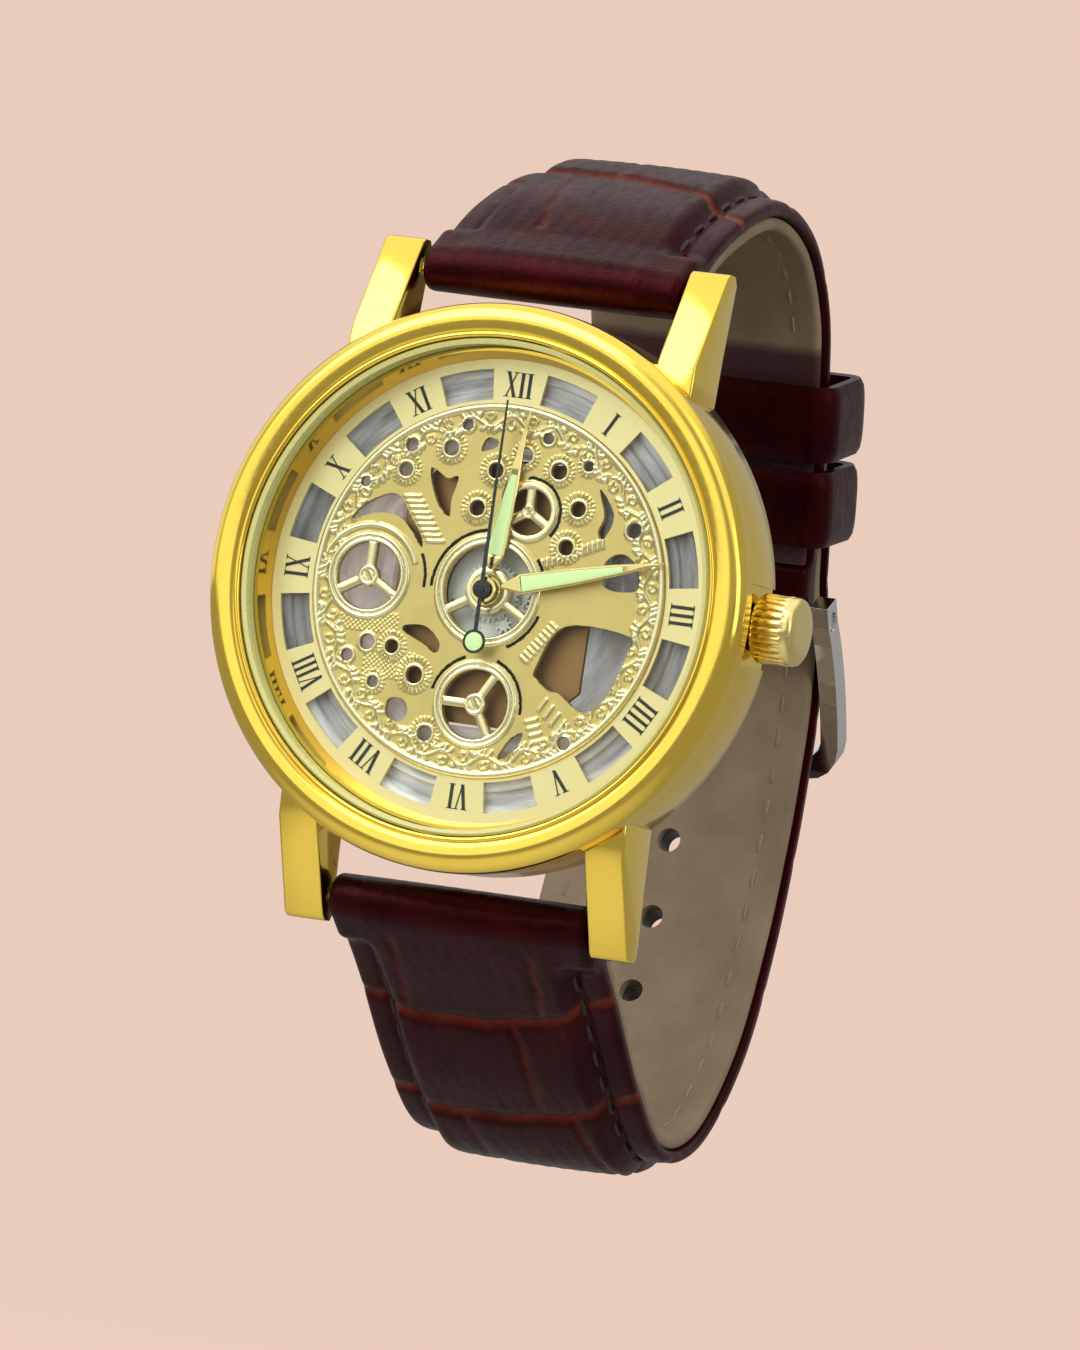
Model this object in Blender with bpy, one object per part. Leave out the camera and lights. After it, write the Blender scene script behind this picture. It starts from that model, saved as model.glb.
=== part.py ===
"""Wristwatch: gold-coloured case, see-through dial, quartz movement, buckled leather strap.

Frame: +X points to 3 o'clock, +Z to 12 o'clock and -Y out of the dial, towards the reader.
The origin lies on the hands' axis, on the outer face of the glass in the case back.
Every dimension below is in millimetres; finish_solid turns them into Blender's metres.
"""

import math

import bmesh
import bpy
from mathutils import Matrix, Vector
from mathutils.geometry import tessellate_polygon

METRES = 0.001

# Case, seen from the back (y = 0) to the front (y negative)
CASE_RADIUS = 20.0
CASE_BORE = 17.2
CASE_FRONT = -6.4
BACK_SEAT_RADIUS = 18.05
BACK_SEAT_FLOOR = -1.7
BACK_RING_RADIUS = 18.0
BACK_RING_FRONT = -1.3
BACK_GLASS_RADIUS = 15.9
BACK_GLASS_THICKNESS = 1.0
BACK_LIP_RADIUS = 15.2
BEZEL_INNER = 17.7
BEZEL_OUTER = 20.25
BEZEL_TOP = -8.6
BEZEL_SHOULDER = -7.1
CRYSTAL_RADIUS = 17.2
CRYSTAL_FRONT = -8.4
CRYSTAL_BACK = -6.95
REHAUT_OUTER = 17.15
REHAUT_FRONT = -6.9
DIAL_RADIUS = 17.1
DIAL_FRONT = -5.2
DIAL_BACK = -4.8
GAP = 0.05
RING_SEGMENTS = 40

# Lugs and spring bars
LUG_INNER = 10.2
LUG_OUTER = 13.2
LUG_ROOT = 14.95
LUG_TIP = 24.6
LUG_SIDE = [(-5.9, LUG_ROOT), (-5.6, 17.6), (-1.8, 24.3), (-1.4, LUG_TIP), (-0.2, LUG_TIP),
            (0.3, 24.0), (-0.3, 19.0), (-0.6, LUG_ROOT)]
BAR_Y = -0.7
BAR_Z = 22.7
BARREL_RADIUS = 0.9
BARREL_HALF = 8.6
BAR_BORE = 0.45
BAR_BORE_DEPTH = 3.0
TIP_RADIUS = 0.4
TIP_START = 7.0
TIP_END = 11.3
COLLAR_RADIUS = 0.7
COLLAR_START = 9.8
COLLAR_END = 10.1
TIP_HOLE_END = 11.5

# Crown, stem and tube along +X
STEM_Y = -2.8
CROWN_RADIUS = 2.5
CROWN_FLUTE_DEPTH = 0.18
CROWN_FLUTES = 24
CROWN_START = 19.7
CROWN_END = 23.0
CROWN_HOLLOW = 1.65
CROWN_HOLLOW_END = 21.4
TUBE_OUTER = 1.1
TUBE_INNER = 0.6
TUBE_START = 17.3
TUBE_END = 21.2
STEM_RADIUS = 0.4
STEM_START = 4.2
STEM_END = 22.3
STEM_GROOVE = (6.6, 7.1)
STEM_GROOVE_RADIUS = 0.22
NOTCH_FLOOR = 19.4
NOTCH_HALF = 2.9

# Dial openings: radius and angle clockwise from 12 o'clock
WINDOW_INNER = 13.6
WINDOW_OUTER = 15.8
WINDOW_HALF_ANGLE = 7.5
DIAL_WHEELS = [  # x, z, opening radius, hub radius, angle of the first spoke
    (-9.15, 0.0, 2.4, 0.75, 90.0),
    (0.3, -8.1, 2.45, 0.8, 180.0),
    (2.2, 5.9, 1.65, 0.5, 90.0),
    (0.0, 0.0, 3.3, 1.7, 90.0),
]
SPOKE_WIDTH = 0.7
DIAL_HOLES = [  # x, z, radius
    (-3.2, 11.2, 0.42), (-1.2, 8.4, 0.5), (-4.9, 9.2, 0.45), (-7.9, 7.8, 0.4),
    (4.9, 8.3, 0.6), (6.4, 4.9, 0.55), (10.8, 3.6, 0.5), (-8.6, -4.6, 0.5),
    (-5.5, -6.3, 0.6), (-3.9, -10.2, 0.55), (7.6, -5.0, 1.2), (-7.0, -4.0, 0.55),
]

# Hands: rest angles clockwise from 12, in degrees, and levels along y
MINUTE_ANGLE = 75.5
HOUR_ANGLE = MINUTE_ANGLE / 12
SECONDS_ANGLE = -0.5
HOUR_HAND_LEVELS = (-5.95, -5.75)
MINUTE_HAND_LEVELS = (-6.35, -6.15)
SECONDS_HAND_LEVELS = (-6.7, -6.55)
HOUR_BLADE = [(1.5, 0.18), (2.6, 0.76), (7.0, 0.55), (9.8, 0.26), (13.0, 0.05)]
MINUTE_BLADE = [(1.4, 0.15), (2.85, 0.72), (6.6, 0.62), (10.2, 0.4), (13.7, 0.05)]
SECONDS_BLADE = [(1.2, 0.12), (13.5, 0.06)]
COUNTERWEIGHT_DISTANCE = 3.75
COUNTERWEIGHT_RADIUS = 0.85

# Movement plates
PLATE_HALF_X = 7.5
PLATE_HALF_Z = 9.5
PLATE_CORNER = 3.2
MAIN_PLATE_LEVELS = (-4.05, -3.6)
BRIDGE_LEVELS = (-1.95, -1.6)
HOLDER_LEVELS = (-4.75, -1.75)
BOARD_LEVELS = (-2.3, -2.15)
BATTERY_LEVELS = (-3.2, -1.55)
BATTERY_RADIUS = 3.4
BATTERY_PLACE = (1.6, -5.7)

# Levels of the movement's moving pieces along y, from the dial side to the back
BACK_PIVOT_END = -1.65
SECONDS_SHAFT_FRONT = -6.75
FOURTH_PINION_LEVELS = (-3.15, -2.65)
FOURTH_WHEEL_BACK = -2.5
THIRD_PIVOT_FRONT = -3.9
THIRD_PINION_LEVELS = (-3.5, -3.0)
THIRD_WHEEL_BACK = -2.85
CENTER_WHEEL_LEVELS = (-3.45, -3.3)
CENTER_HUB_BACK = -3.2
INTERMEDIATE_PIVOT_FRONT = -2.8
INTERMEDIATE_PINION_LEVELS = (-2.7, -2.35)
INTERMEDIATE_WHEEL_BACK = -2.2
ROTOR_PIVOT_FRONT = -3.2
ROTOR_MAGNET_LEVELS = (-3.05, -2.4)
ROTOR_PINION_BACK = -2.1
CANNON_TUBE_FRONT = -6.4
CANNON_PINION_LEVELS = (-4.34, -4.12)
CANNON_TUBE_BACK = -3.2
HOUR_TUBE_FRONT = -6.0
HOUR_WHEEL_LEVELS = (-4.6, -4.42)
MINUTE_PINION_LEVELS = (-4.65, -4.32)
MINUTE_WHEEL_BACK = -4.14
MINUTE_PIVOT_BACK = -3.65
SETTING_WHEEL_LEVELS = (-4.32, -3.6)
SETTING_HUB_BACK = -3.55
STATOR_LEVELS = (-2.75, -2.45)
CLIP_LEVELS = (-1.5, -1.38)

# Gear train: module in millimetres, and where each arbor stands
SECONDS_STEP_DISTANCE = 3.2
MINUTE_STEP_DISTANCE = 2.6
INTERMEDIATE_DISTANCE = 2.4
ROTOR_STEP_DISTANCE = 1.9
PIVOT_RADIUS = 0.2
SECONDS_SHAFT_RADIUS = 0.22
ADDENDUM = 0.85
DEDENDUM = 1.15
THIRD_ANGLE = math.radians(200)
INTERMEDIATE_ANGLE = math.radians(60)
ROTOR_ANGLE = math.radians(75)
MINUTE_WHEEL_ANGLE = math.radians(-60)
SETTING_WHEEL_ANGLE = math.radians(32)

# Teeth of each wheel and of the pinion on its arbor
ROTOR_TEETH = 6
INTERMEDIATE_TEETH = 36
INTERMEDIATE_LEAVES = 6
FOURTH_TEETH = 30
FOURTH_LEAVES = 6
THIRD_TEETH = 45
THIRD_LEAVES = 6
CENTER_TEETH = 48
CANNON_TEETH = 10
MINUTE_TEETH = 30
MINUTE_LEAVES = 8
HOUR_TEETH = 32
SETTING_TEETH = 18
CLUTCH_TEETH = 10
CLUTCH_MODULE = 0.13

# Modules that fit each pair of gears to its centre distance
FOURTH_TO_THIRD_MODULE = 2 * SECONDS_STEP_DISTANCE / (FOURTH_LEAVES + THIRD_TEETH)
THIRD_TO_CENTER_MODULE = 2 * SECONDS_STEP_DISTANCE / (THIRD_LEAVES + CENTER_TEETH)
MINUTE_MODULE = 2 * MINUTE_STEP_DISTANCE / (CANNON_TEETH + MINUTE_TEETH)
HOUR_MODULE = 2 * MINUTE_STEP_DISTANCE / (MINUTE_LEAVES + HOUR_TEETH)
FOURTH_MODULE = 2 * INTERMEDIATE_DISTANCE / (INTERMEDIATE_LEAVES + FOURTH_TEETH)
ROTOR_MODULE = 2 * ROTOR_STEP_DISTANCE / (ROTOR_TEETH + INTERMEDIATE_TEETH)
SETTING_DISTANCE = MINUTE_MODULE * (MINUTE_TEETH + SETTING_TEETH) / 2

# Strap, drawn in the Y-Z plane as the middle line of its thickness
STRAP_HALF_LUG = 10.0
STRAP_HALF_END = 9.0
SHORT_WAYPOINTS = [(BAR_Y, BAR_Z), (6.4, 27.7), (15.8, 31.1), (24.0, 30.0), (29.7, 25.6),
                   (32.4, 20.0), (34.3, 12.5), (36.4, 3.2)]
LONG_WAYPOINTS = [(BAR_Y, -BAR_Z), (6.0, -27.4), (13.2, -33.2), (20.8, -37.3), (28.3, -36.0),
                  (34.6, -29.5), (38.0, -21.0), (39.6, -13.5), (40.2, -8.0), (40.3, -2.8)]
SHORT_THICKNESS = (3.4, 2.8)
LONG_THICKNESS = (3.4, 2.1)
TAIL_LIFT = 2.6
TAIL_CONTACTS = (3.0, 8.0, 13.0, 18.0)
LINING_THICKNESS = 1.0
FOLD_LENGTH = 4.0
STATION_SPACING = 3.4
BAR_TUNNEL = 1.0
HOLE_COUNT = 6
HOLE_PITCH = 6.1
HOLE_RADIUS = 0.9
USED_HOLE_HALF = 2.0
USED_HOLE_RISE = 1.3

# Buckle and keepers
BUCKLE_BAR_RADIUS = 0.7
BUCKLE_TUNNEL = 0.78
BUCKLE_INNER_HALF = 9.5
BUCKLE_OUTER_HALF = 10.9
BUCKLE_THICKNESS = 1.8
BUCKLE_BOW = 0.7
FRONT_BAR = (42.9, -7.0)
TONGUE_HALF = 0.8
TONGUE_RING = 1.35
TONGUE_THICKNESS = 0.9
TONGUE_SLOT_HALF = 1.15
KEEPER_LENGTH = 5.6
KEEPER_WALL = 1.2
KEEPER_CLEARANCE = 0.3
FREE_KEEPER_Z = 17.6
FIXED_KEEPER_Z = 11.4


def clear_scene():
    for item in list(bpy.data.objects):
        bpy.data.objects.remove(item, do_unlink=True)


# ---------------------------------------------------------------- materials

def make_material(name, colour, roughness, metallic=0.0, see_through=0.0):
    material = bpy.data.materials.new(name)
    material.use_nodes = True
    shader = material.node_tree.nodes["Principled BSDF"]
    shader.inputs["Base Color"].default_value = (*colour, 1.0)
    shader.inputs["Roughness"].default_value = roughness
    shader.inputs["Metallic"].default_value = metallic
    shader.inputs["Transmission Weight"].default_value = see_through
    material.diffuse_color = (*colour, 1.0)
    return material


# ---------------------------------------------------------------- shapes

def facing_y(across, up, depth):
    """An outline drawn in X and Z that gets its thickness along Y."""
    return (across, depth, up)


def facing_x(along_y, up, depth):
    """An outline drawn in Y and Z that gets its thickness along X."""
    return (depth, along_y, up)


def circle(radius, centre=(0.0, 0.0), steps=16):
    turn = 2 * math.pi / steps
    return [(centre[0] + radius * math.cos(n * turn), centre[1] + radius * math.sin(n * turn))
            for n in range(steps)]


def arc(centre, radius, start, end, steps):
    """Points on an arc, both ends included; angles in degrees from the first axis."""
    angles = [math.radians(start + (end - start) * n / steps) for n in range(steps + 1)]
    return [(centre[0] + radius * math.cos(a), centre[1] + radius * math.sin(a)) for a in angles]


def cut_corner_rectangle(half_width, half_height, corner):
    w, h, c = half_width, half_height, corner
    return [(w - c, -h), (w, -h + c), (w, h - c), (w - c, h),
            (-w + c, h), (-w, h - c), (-w, -h + c), (-w + c, -h)]


def turned_clockwise(points, degrees):
    """Outline points turned about the hands' axis, as a hand turns."""
    c, s = math.cos(math.radians(degrees)), math.sin(math.radians(degrees))
    return [(a * c + b * s, b * c - a * s) for a, b in points]


def triangles_between(outline, holes=()):
    loops = [[Vector((a, b, 0.0)) for a, b in loop] for loop in (outline, *holes)]
    return tessellate_polygon(loops)


def add_wall(bm, ring, following):
    for n in range(len(ring)):
        after = (n + 1) % len(ring)
        bm.faces.new((ring[n], ring[after], following[after], following[n]))


def prism(outline, holes, lows, highs, place):
    """An outline with holes, given thickness; each point has its own low and high level."""
    bm = bmesh.new()
    loops = [outline, *holes]
    points = [point for loop in loops for point in loop]
    bottom = [bm.verts.new(place(a, b, low)) for (a, b), low in zip(points, lows)]
    top = [bm.verts.new(place(a, b, high)) for (a, b), high in zip(points, highs)]
    for corners in triangles_between(outline, holes):
        bm.faces.new([bottom[n] for n in corners])
        bm.faces.new([top[n] for n in reversed(corners)])
    first = 0
    for loop in loops:
        last = first + len(loop)
        add_wall(bm, bottom[first:last], top[first:last])
        first = last
    return bm


def plate(outline, holes, levels, place=facing_y):
    count = len(outline) + sum(len(hole) for hole in holes)
    return prism(outline, holes, [levels[0]] * count, [levels[1]] * count, place)


def stack(layers, bore=None, place=facing_y):
    """Outlines of different size on one axis, joined into one body: (outline, low, high) each."""
    bm = bmesh.new()

    def ring_at(outline, level):
        return [bm.verts.new(place(a, b, level)) for a, b in outline]

    def cap(outline, ring, hole=None, hole_ring=()):
        corners = [*ring, *hole_ring]
        for triangle in triangles_between(outline, [hole] if hole else []):
            bm.faces.new([corners[n] for n in triangle])

    rings = [(ring_at(outline, low), ring_at(outline, high)) for outline, low, high in layers]
    for low_ring, high_ring in rings:
        add_wall(bm, low_ring, high_ring)
    for n in range(len(layers) - 1):
        here, there = layers[n][0], layers[n + 1][0]
        here_ring, there_ring = rings[n][1], rings[n + 1][0]
        if max(map(math.hypot, *zip(*here))) > max(map(math.hypot, *zip(*there))):
            cap(here, here_ring, there, there_ring)
        else:
            cap(there, there_ring, here, here_ring)
    bore_rings = (ring_at(bore, layers[0][1]), ring_at(bore, layers[-1][2])) if bore else ((), ())
    cap(layers[0][0], rings[0][0], bore, bore_rings[0])
    cap(layers[-1][0], rings[-1][1], bore, bore_rings[1])
    if bore:
        add_wall(bm, *bore_rings)
    return bm


def turned(profile, segments=RING_SEGMENTS, along_x=False, flutes=()):
    """A closed profile of (radius, level) points spun round Y, or round X.

    Profile points whose numbers are in flutes lose the flute depth at every other step.
    """
    bm = bmesh.new()
    rings = []
    for number, (radius, level) in enumerate(profile):
        count = segments if radius > 0.0 else 1
        ring = []
        for step in range(count):
            reach = radius - CROWN_FLUTE_DEPTH * (number in flutes and step % 2)
            angle = 2 * math.pi * step / count
            a, b = reach * math.cos(angle), reach * math.sin(angle)
            ring.append(bm.verts.new((level, a, b) if along_x else (a, level, b)))
        rings.append(ring)
    for ring, following in zip(rings, rings[1:] + rings[:1]):
        for step in range(segments):
            after = step + 1
            corners = [ring[step % len(ring)], ring[after % len(ring)],
                       following[after % len(following)], following[step % len(following)]]
            corners = list(dict.fromkeys(corners))
            if len(corners) > 2:
                bm.faces.new(corners)
    return bm


def band(inner, outer, levels):
    """The profile of a plain ring of rectangular section."""
    return [(inner, levels[0]), (outer, levels[0]), (outer, levels[1]), (inner, levels[1])]


def rod_profile(radius, levels):
    return [(0.0, levels[0]), (radius, levels[0]), (radius, levels[1]), (0.0, levels[1])]


def moved(bm, offset):
    bmesh.ops.translate(bm, verts=bm.verts, vec=offset)
    return bm


def finish_solid(name, bm, material, pivot=(0.0, 0.0, 0.0), parent=None):
    """Turns a mesh drawn in millimetres into an object whose origin is its pivot."""
    bmesh.ops.recalc_face_normals(bm, faces=bm.faces)
    bmesh.ops.translate(bm, verts=bm.verts, vec=[-value for value in pivot])
    bmesh.ops.scale(bm, verts=bm.verts, vec=[METRES] * 3)
    mesh = bpy.data.meshes.new(name)
    bm.to_mesh(mesh)
    bm.free()
    mesh.shade_smooth()
    mesh.set_sharp_from_angle(angle=math.radians(35))
    item = bpy.data.objects.new(name, mesh)
    bpy.context.scene.collection.objects.link(item)
    item.data.materials.append(material)
    item.location = [value * METRES for value in pivot]
    if parent:
        item.parent = parent
        item.location = Vector(item.location) - parent.location
    return item


def make_pivot(name, place):
    pivot = bpy.data.objects.new(name, None)
    pivot.empty_display_size = 0.003
    pivot.location = [value * METRES for value in place]
    bpy.context.scene.collection.objects.link(pivot)
    return pivot


def combine(target, bm, operation):
    """Joins a shape to an object or cuts it away, and keeps the result as the object's mesh."""
    tool = finish_solid("tool", bm, target.data.materials[0])
    tool.hide_render = True
    tool.display_type = "WIRE"
    modifier = target.modifiers.new(operation, "BOOLEAN")
    modifier.operation = operation
    modifier.solver = "EXACT"
    modifier.object = tool
    bpy.context.view_layer.update()
    evaluated = target.evaluated_get(bpy.context.evaluated_depsgraph_get())
    target_mesh = bpy.data.meshes.new_from_object(evaluated)
    target.modifiers.remove(modifier)
    target.data = target_mesh
    bpy.data.objects.remove(tool, do_unlink=True)


# ---------------------------------------------------------------- case

def build_mid_case(gold):
    profile = [
        (19.6, -0.3), (CASE_RADIUS, -0.8), (CASE_RADIUS, CASE_FRONT), (CASE_BORE, CASE_FRONT),
        (CASE_BORE, BACK_SEAT_FLOOR), (BACK_SEAT_RADIUS, BACK_SEAT_FLOOR), (BACK_SEAT_RADIUS, -0.3),
    ]
    case = finish_solid("mid_case", turned(profile), gold)
    for side in (1, -1):
        for end in (1, -1):
            outline = [(y, end * z) for y, z in LUG_SIDE]
            levels = sorted((side * LUG_INNER, side * LUG_OUTER))
            combine(case, plate(outline, [], levels, facing_x), "UNION")
            hole = sorted((side * (LUG_INNER - 1), side * TIP_HOLE_END))
            combine(case, plate(circle(BAR_BORE, (BAR_Y, end * BAR_Z), 12), [], hole, facing_x),
                    "DIFFERENCE")
    notch = [(-5.7, -NOTCH_HALF), (0.5, -NOTCH_HALF), (0.5, NOTCH_HALF), (-5.7, NOTCH_HALF)]
    combine(case, plate(notch, [], (NOTCH_FLOOR, CASE_RADIUS + 1), facing_x), "DIFFERENCE")
    tube_hole = circle(TUBE_OUTER + GAP, (STEM_Y, 0.0))
    combine(case, plate(tube_hole, [], (CASE_BORE - 1, CASE_RADIUS), facing_x), "DIFFERENCE")


def build_bezel(gold):
    seat = CASE_FRONT - GAP
    dome = arc((BEZEL_INNER + 1.15, BEZEL_SHOULDER), 1.4, 0, -140, 7)
    profile = [(BEZEL_OUTER, seat), *dome, (BEZEL_INNER, BEZEL_TOP + 0.35), (BEZEL_INNER, seat)]
    finish_solid("bezel", turned(profile), gold)


def build_crystal(glass):
    levels = (CRYSTAL_FRONT, CRYSTAL_BACK)
    finish_solid("crystal", plate(circle(CRYSTAL_RADIUS, steps=RING_SEGMENTS), [], levels), glass)


def build_crystal_gasket(nylon):
    ring = band(CRYSTAL_RADIUS + GAP, BEZEL_INNER - GAP, (CRYSTAL_FRONT + 0.1, CASE_FRONT - GAP))
    finish_solid("crystal_gasket", turned(ring), nylon)


def build_rehaut_ring(gold):
    back = DIAL_FRONT - GAP
    profile = [(16.5, back), (REHAUT_OUTER, back), (REHAUT_OUTER, REHAUT_FRONT), (16.9, REHAUT_FRONT)]
    finish_solid("rehaut_ring", turned(profile), gold)


def window_outline(middle_angle):
    """One opening of the chapter ring, between two numerals."""
    start = 90 - middle_angle - WINDOW_HALF_ANGLE
    end = 90 - middle_angle + WINDOW_HALF_ANGLE
    outer = arc((0.0, 0.0), WINDOW_OUTER, start, end, 3)
    inner = arc((0.0, 0.0), WINDOW_INNER, end, start, 3)
    return outer + inner


def spoke_openings(x, z, rim, hub, first_spoke):
    """The three openings between the spokes of a stamped wheel."""
    openings = []
    for n in range(3):
        start = first_spoke + 120 * n
        rim_margin = math.degrees(math.asin(SPOKE_WIDTH / 2 / rim))
        hub_margin = math.degrees(math.asin(SPOKE_WIDTH / 2 / hub))
        outer = arc((x, z), rim, start + rim_margin, start + 120 - rim_margin, 6)
        inner = arc((x, z), hub, start + 120 - hub_margin, start + hub_margin, 3)
        openings.append(outer + inner)
    return openings


def build_dial(gold):
    holes = [window_outline(15 + 30 * n) for n in range(12)]
    for wheel in DIAL_WHEELS:
        holes += spoke_openings(*wheel)
    holes += [circle(radius, (x, z), 8) for x, z, radius in DIAL_HOLES]
    holes.append(circle(1.0, steps=12))
    outline = circle(DIAL_RADIUS, steps=RING_SEGMENTS)
    finish_solid("dial", plate(outline, holes, (DIAL_FRONT, DIAL_BACK)), gold)


def build_case_back(gold, glass, rubber):
    glass_front = -BACK_GLASS_THICKNESS
    profile = [
        (BACK_RING_RADIUS, BACK_RING_FRONT), (BACK_RING_RADIUS, -0.2), (17.8, 0.0),
        (BACK_GLASS_RADIUS + GAP, 0.0), (BACK_GLASS_RADIUS + GAP, glass_front - GAP),
        (BACK_LIP_RADIUS, glass_front - GAP), (BACK_LIP_RADIUS, BACK_RING_FRONT),
    ]
    finish_solid("case_back", turned(profile), gold)
    disc = circle(BACK_GLASS_RADIUS, steps=RING_SEGMENTS)
    finish_solid("case_back_glass", plate(disc, [], (glass_front, 0.0)), glass)
    seal = band(CASE_BORE + 0.2, BACK_RING_RADIUS, (BACK_SEAT_FLOOR + GAP, BACK_RING_FRONT - GAP))
    finish_solid("case_back_gasket", turned(seal), rubber)


# ---------------------------------------------------------------- crown

def build_crown(gold, steel, rubber, pivot):
    axis = (0.0, STEM_Y, 0.0)
    profile = [
        (0.0, STEM_END + 0.1), (STEM_RADIUS + GAP, STEM_END + 0.1),
        (STEM_RADIUS + GAP, CROWN_HOLLOW_END), (CROWN_HOLLOW, CROWN_HOLLOW_END),
        (CROWN_HOLLOW, CROWN_START), (2.2, CROWN_START), (CROWN_RADIUS, CROWN_START + 0.3),
        (CROWN_RADIUS, CROWN_END - 0.6), (CROWN_RADIUS - 0.35, CROWN_END), (0.0, CROWN_END),
    ]
    crown = turned(profile, 2 * CROWN_FLUTES, True, flutes=(6, 7))
    finish_solid("crown", moved(crown, axis), gold, axis, pivot)

    groove_start, groove_end = STEM_GROOVE
    stem = [
        (0.0, STEM_START), (STEM_RADIUS, STEM_START), (STEM_RADIUS, groove_start),
        (STEM_GROOVE_RADIUS, groove_start), (STEM_GROOVE_RADIUS, groove_end),
        (STEM_RADIUS, groove_end), (STEM_RADIUS, STEM_END), (0.0, STEM_END),
    ]
    finish_solid("winding_stem", moved(turned(stem, 12, True), axis), steel, axis, pivot)
    seal = band(TUBE_OUTER + GAP, CROWN_HOLLOW - GAP, (TUBE_END - 0.9, TUBE_END - 0.3))
    finish_solid("crown_gasket", moved(turned(seal, 16, True), axis), rubber, axis, pivot)


def build_crown_tube(steel):
    tube = band(TUBE_INNER, TUBE_OUTER, (TUBE_START, TUBE_END))
    finish_solid("crown_tube", moved(turned(tube, 16, True), (0.0, STEM_Y, 0.0)), steel)


# ---------------------------------------------------------------- hands

def hand_outline(boss, blade):
    """A boss round the axis and a blade towards 12 o'clock, given as (distance, half width)."""
    right = [(half, distance) for distance, half in blade]
    left = [(-half, distance) for distance, half in reversed(blade)]
    edge = math.degrees(math.acos(blade[0][1] / boss))
    return right + left + arc((0.0, 0.0), boss, 180 - edge, 360 + edge, 12)


def build_hands(gold, black):
    hour = turned_clockwise(hand_outline(1.1, HOUR_BLADE), HOUR_ANGLE)
    finish_solid("hour_hand", plate(hour, [circle(0.8, steps=12)], HOUR_HAND_LEVELS), gold)
    minute = turned_clockwise(hand_outline(0.95, MINUTE_BLADE), MINUTE_ANGLE)
    finish_solid("minute_hand", plate(minute, [circle(0.52, steps=12)], MINUTE_HAND_LEVELS), gold)
    neck = 0.12
    ring_centre = (0.0, -COUNTERWEIGHT_DISTANCE)
    open_angle = math.degrees(math.asin(neck / COUNTERWEIGHT_RADIUS))
    ring = arc(ring_centre, COUNTERWEIGHT_RADIUS, 90 + open_angle, 450 - open_angle, 14)
    boss = 0.6
    side = math.degrees(math.asin(neck / boss))
    blade_side = math.degrees(math.acos(SECONDS_BLADE[0][1] / boss))
    needle = [(half, distance) for distance, half in SECONDS_BLADE]
    needle += [(-half, distance) for distance, half in reversed(SECONDS_BLADE)]
    left_boss = arc((0.0, 0.0), boss, 180 - blade_side, 270 - side, 4)
    right_boss = arc((0.0, 0.0), boss, 270 + side, 360 + blade_side, 4)
    outline = turned_clockwise(needle + left_boss + ring + right_boss, SECONDS_ANGLE)
    hole = [circle(0.24, steps=8)]
    finish_solid("seconds_hand", plate(outline, hole, SECONDS_HAND_LEVELS), black)


# ---------------------------------------------------------------- movement

def build_movement_plates(brass, steel, board, plastic):
    main = cut_corner_rectangle(PLATE_HALF_X, PLATE_HALF_Z, PLATE_CORNER)
    setting_x, setting_z = setting_wheel_place()
    third_x, third_z = third_wheel_place()
    main_holes = [
        circle(0.75, steps=12),
        circle(PIVOT_RADIUS + GAP, (third_x, third_z), 8),
        circle(PIVOT_RADIUS + GAP, minute_wheel_place(), 8),
        circle(gear_reach(SETTING_TEETH, MINUTE_MODULE) + 0.1, (setting_x, setting_z), 16),
    ]
    finish_solid("main_plate", plate(main, main_holes, MAIN_PLATE_LEVELS), brass)

    rotor_x, rotor_z = rotor_place()
    bridge = [(-5.0, -3.2), (-1.2, -3.2), (1.2, -1.6), (3.6, 0.6), (3.6, 5.6), (0.2, 5.6),
              (-1.6, 2.2), (-5.0, 1.2)]
    arbors = [(0.0, 0.0), (third_x, third_z), intermediate_place(), (rotor_x, rotor_z)]
    bridge_holes = [circle(PIVOT_RADIUS + GAP, place, 8) for place in arbors]
    finish_solid("train_bridge", plate(bridge, bridge_holes, BRIDGE_LEVELS), steel)

    circuit = [(-5.4, -8.2), (-2.6, -8.2), (-2.6, -4.5), (-6.1, -4.5), (-6.1, 6.0), (-7.2, 6.0),
               (-7.2, -6.4)]
    finish_solid("circuit_board", plate(circuit, [], BOARD_LEVELS), board)

    opening = cut_corner_rectangle(PLATE_HALF_X + 0.2, PLATE_HALF_Z + 0.2, PLATE_CORNER)
    ring = circle(DIAL_RADIUS, steps=RING_SEGMENTS)
    holder = finish_solid("movement_holder", plate(ring, [opening], HOLDER_LEVELS), plastic)
    channel = circle(TUBE_OUTER + 0.1, (STEM_Y, 0.0), 12)
    combine(holder, plate(channel, [], (PLATE_HALF_X - 1, CASE_RADIUS), facing_x), "DIFFERENCE")


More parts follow.
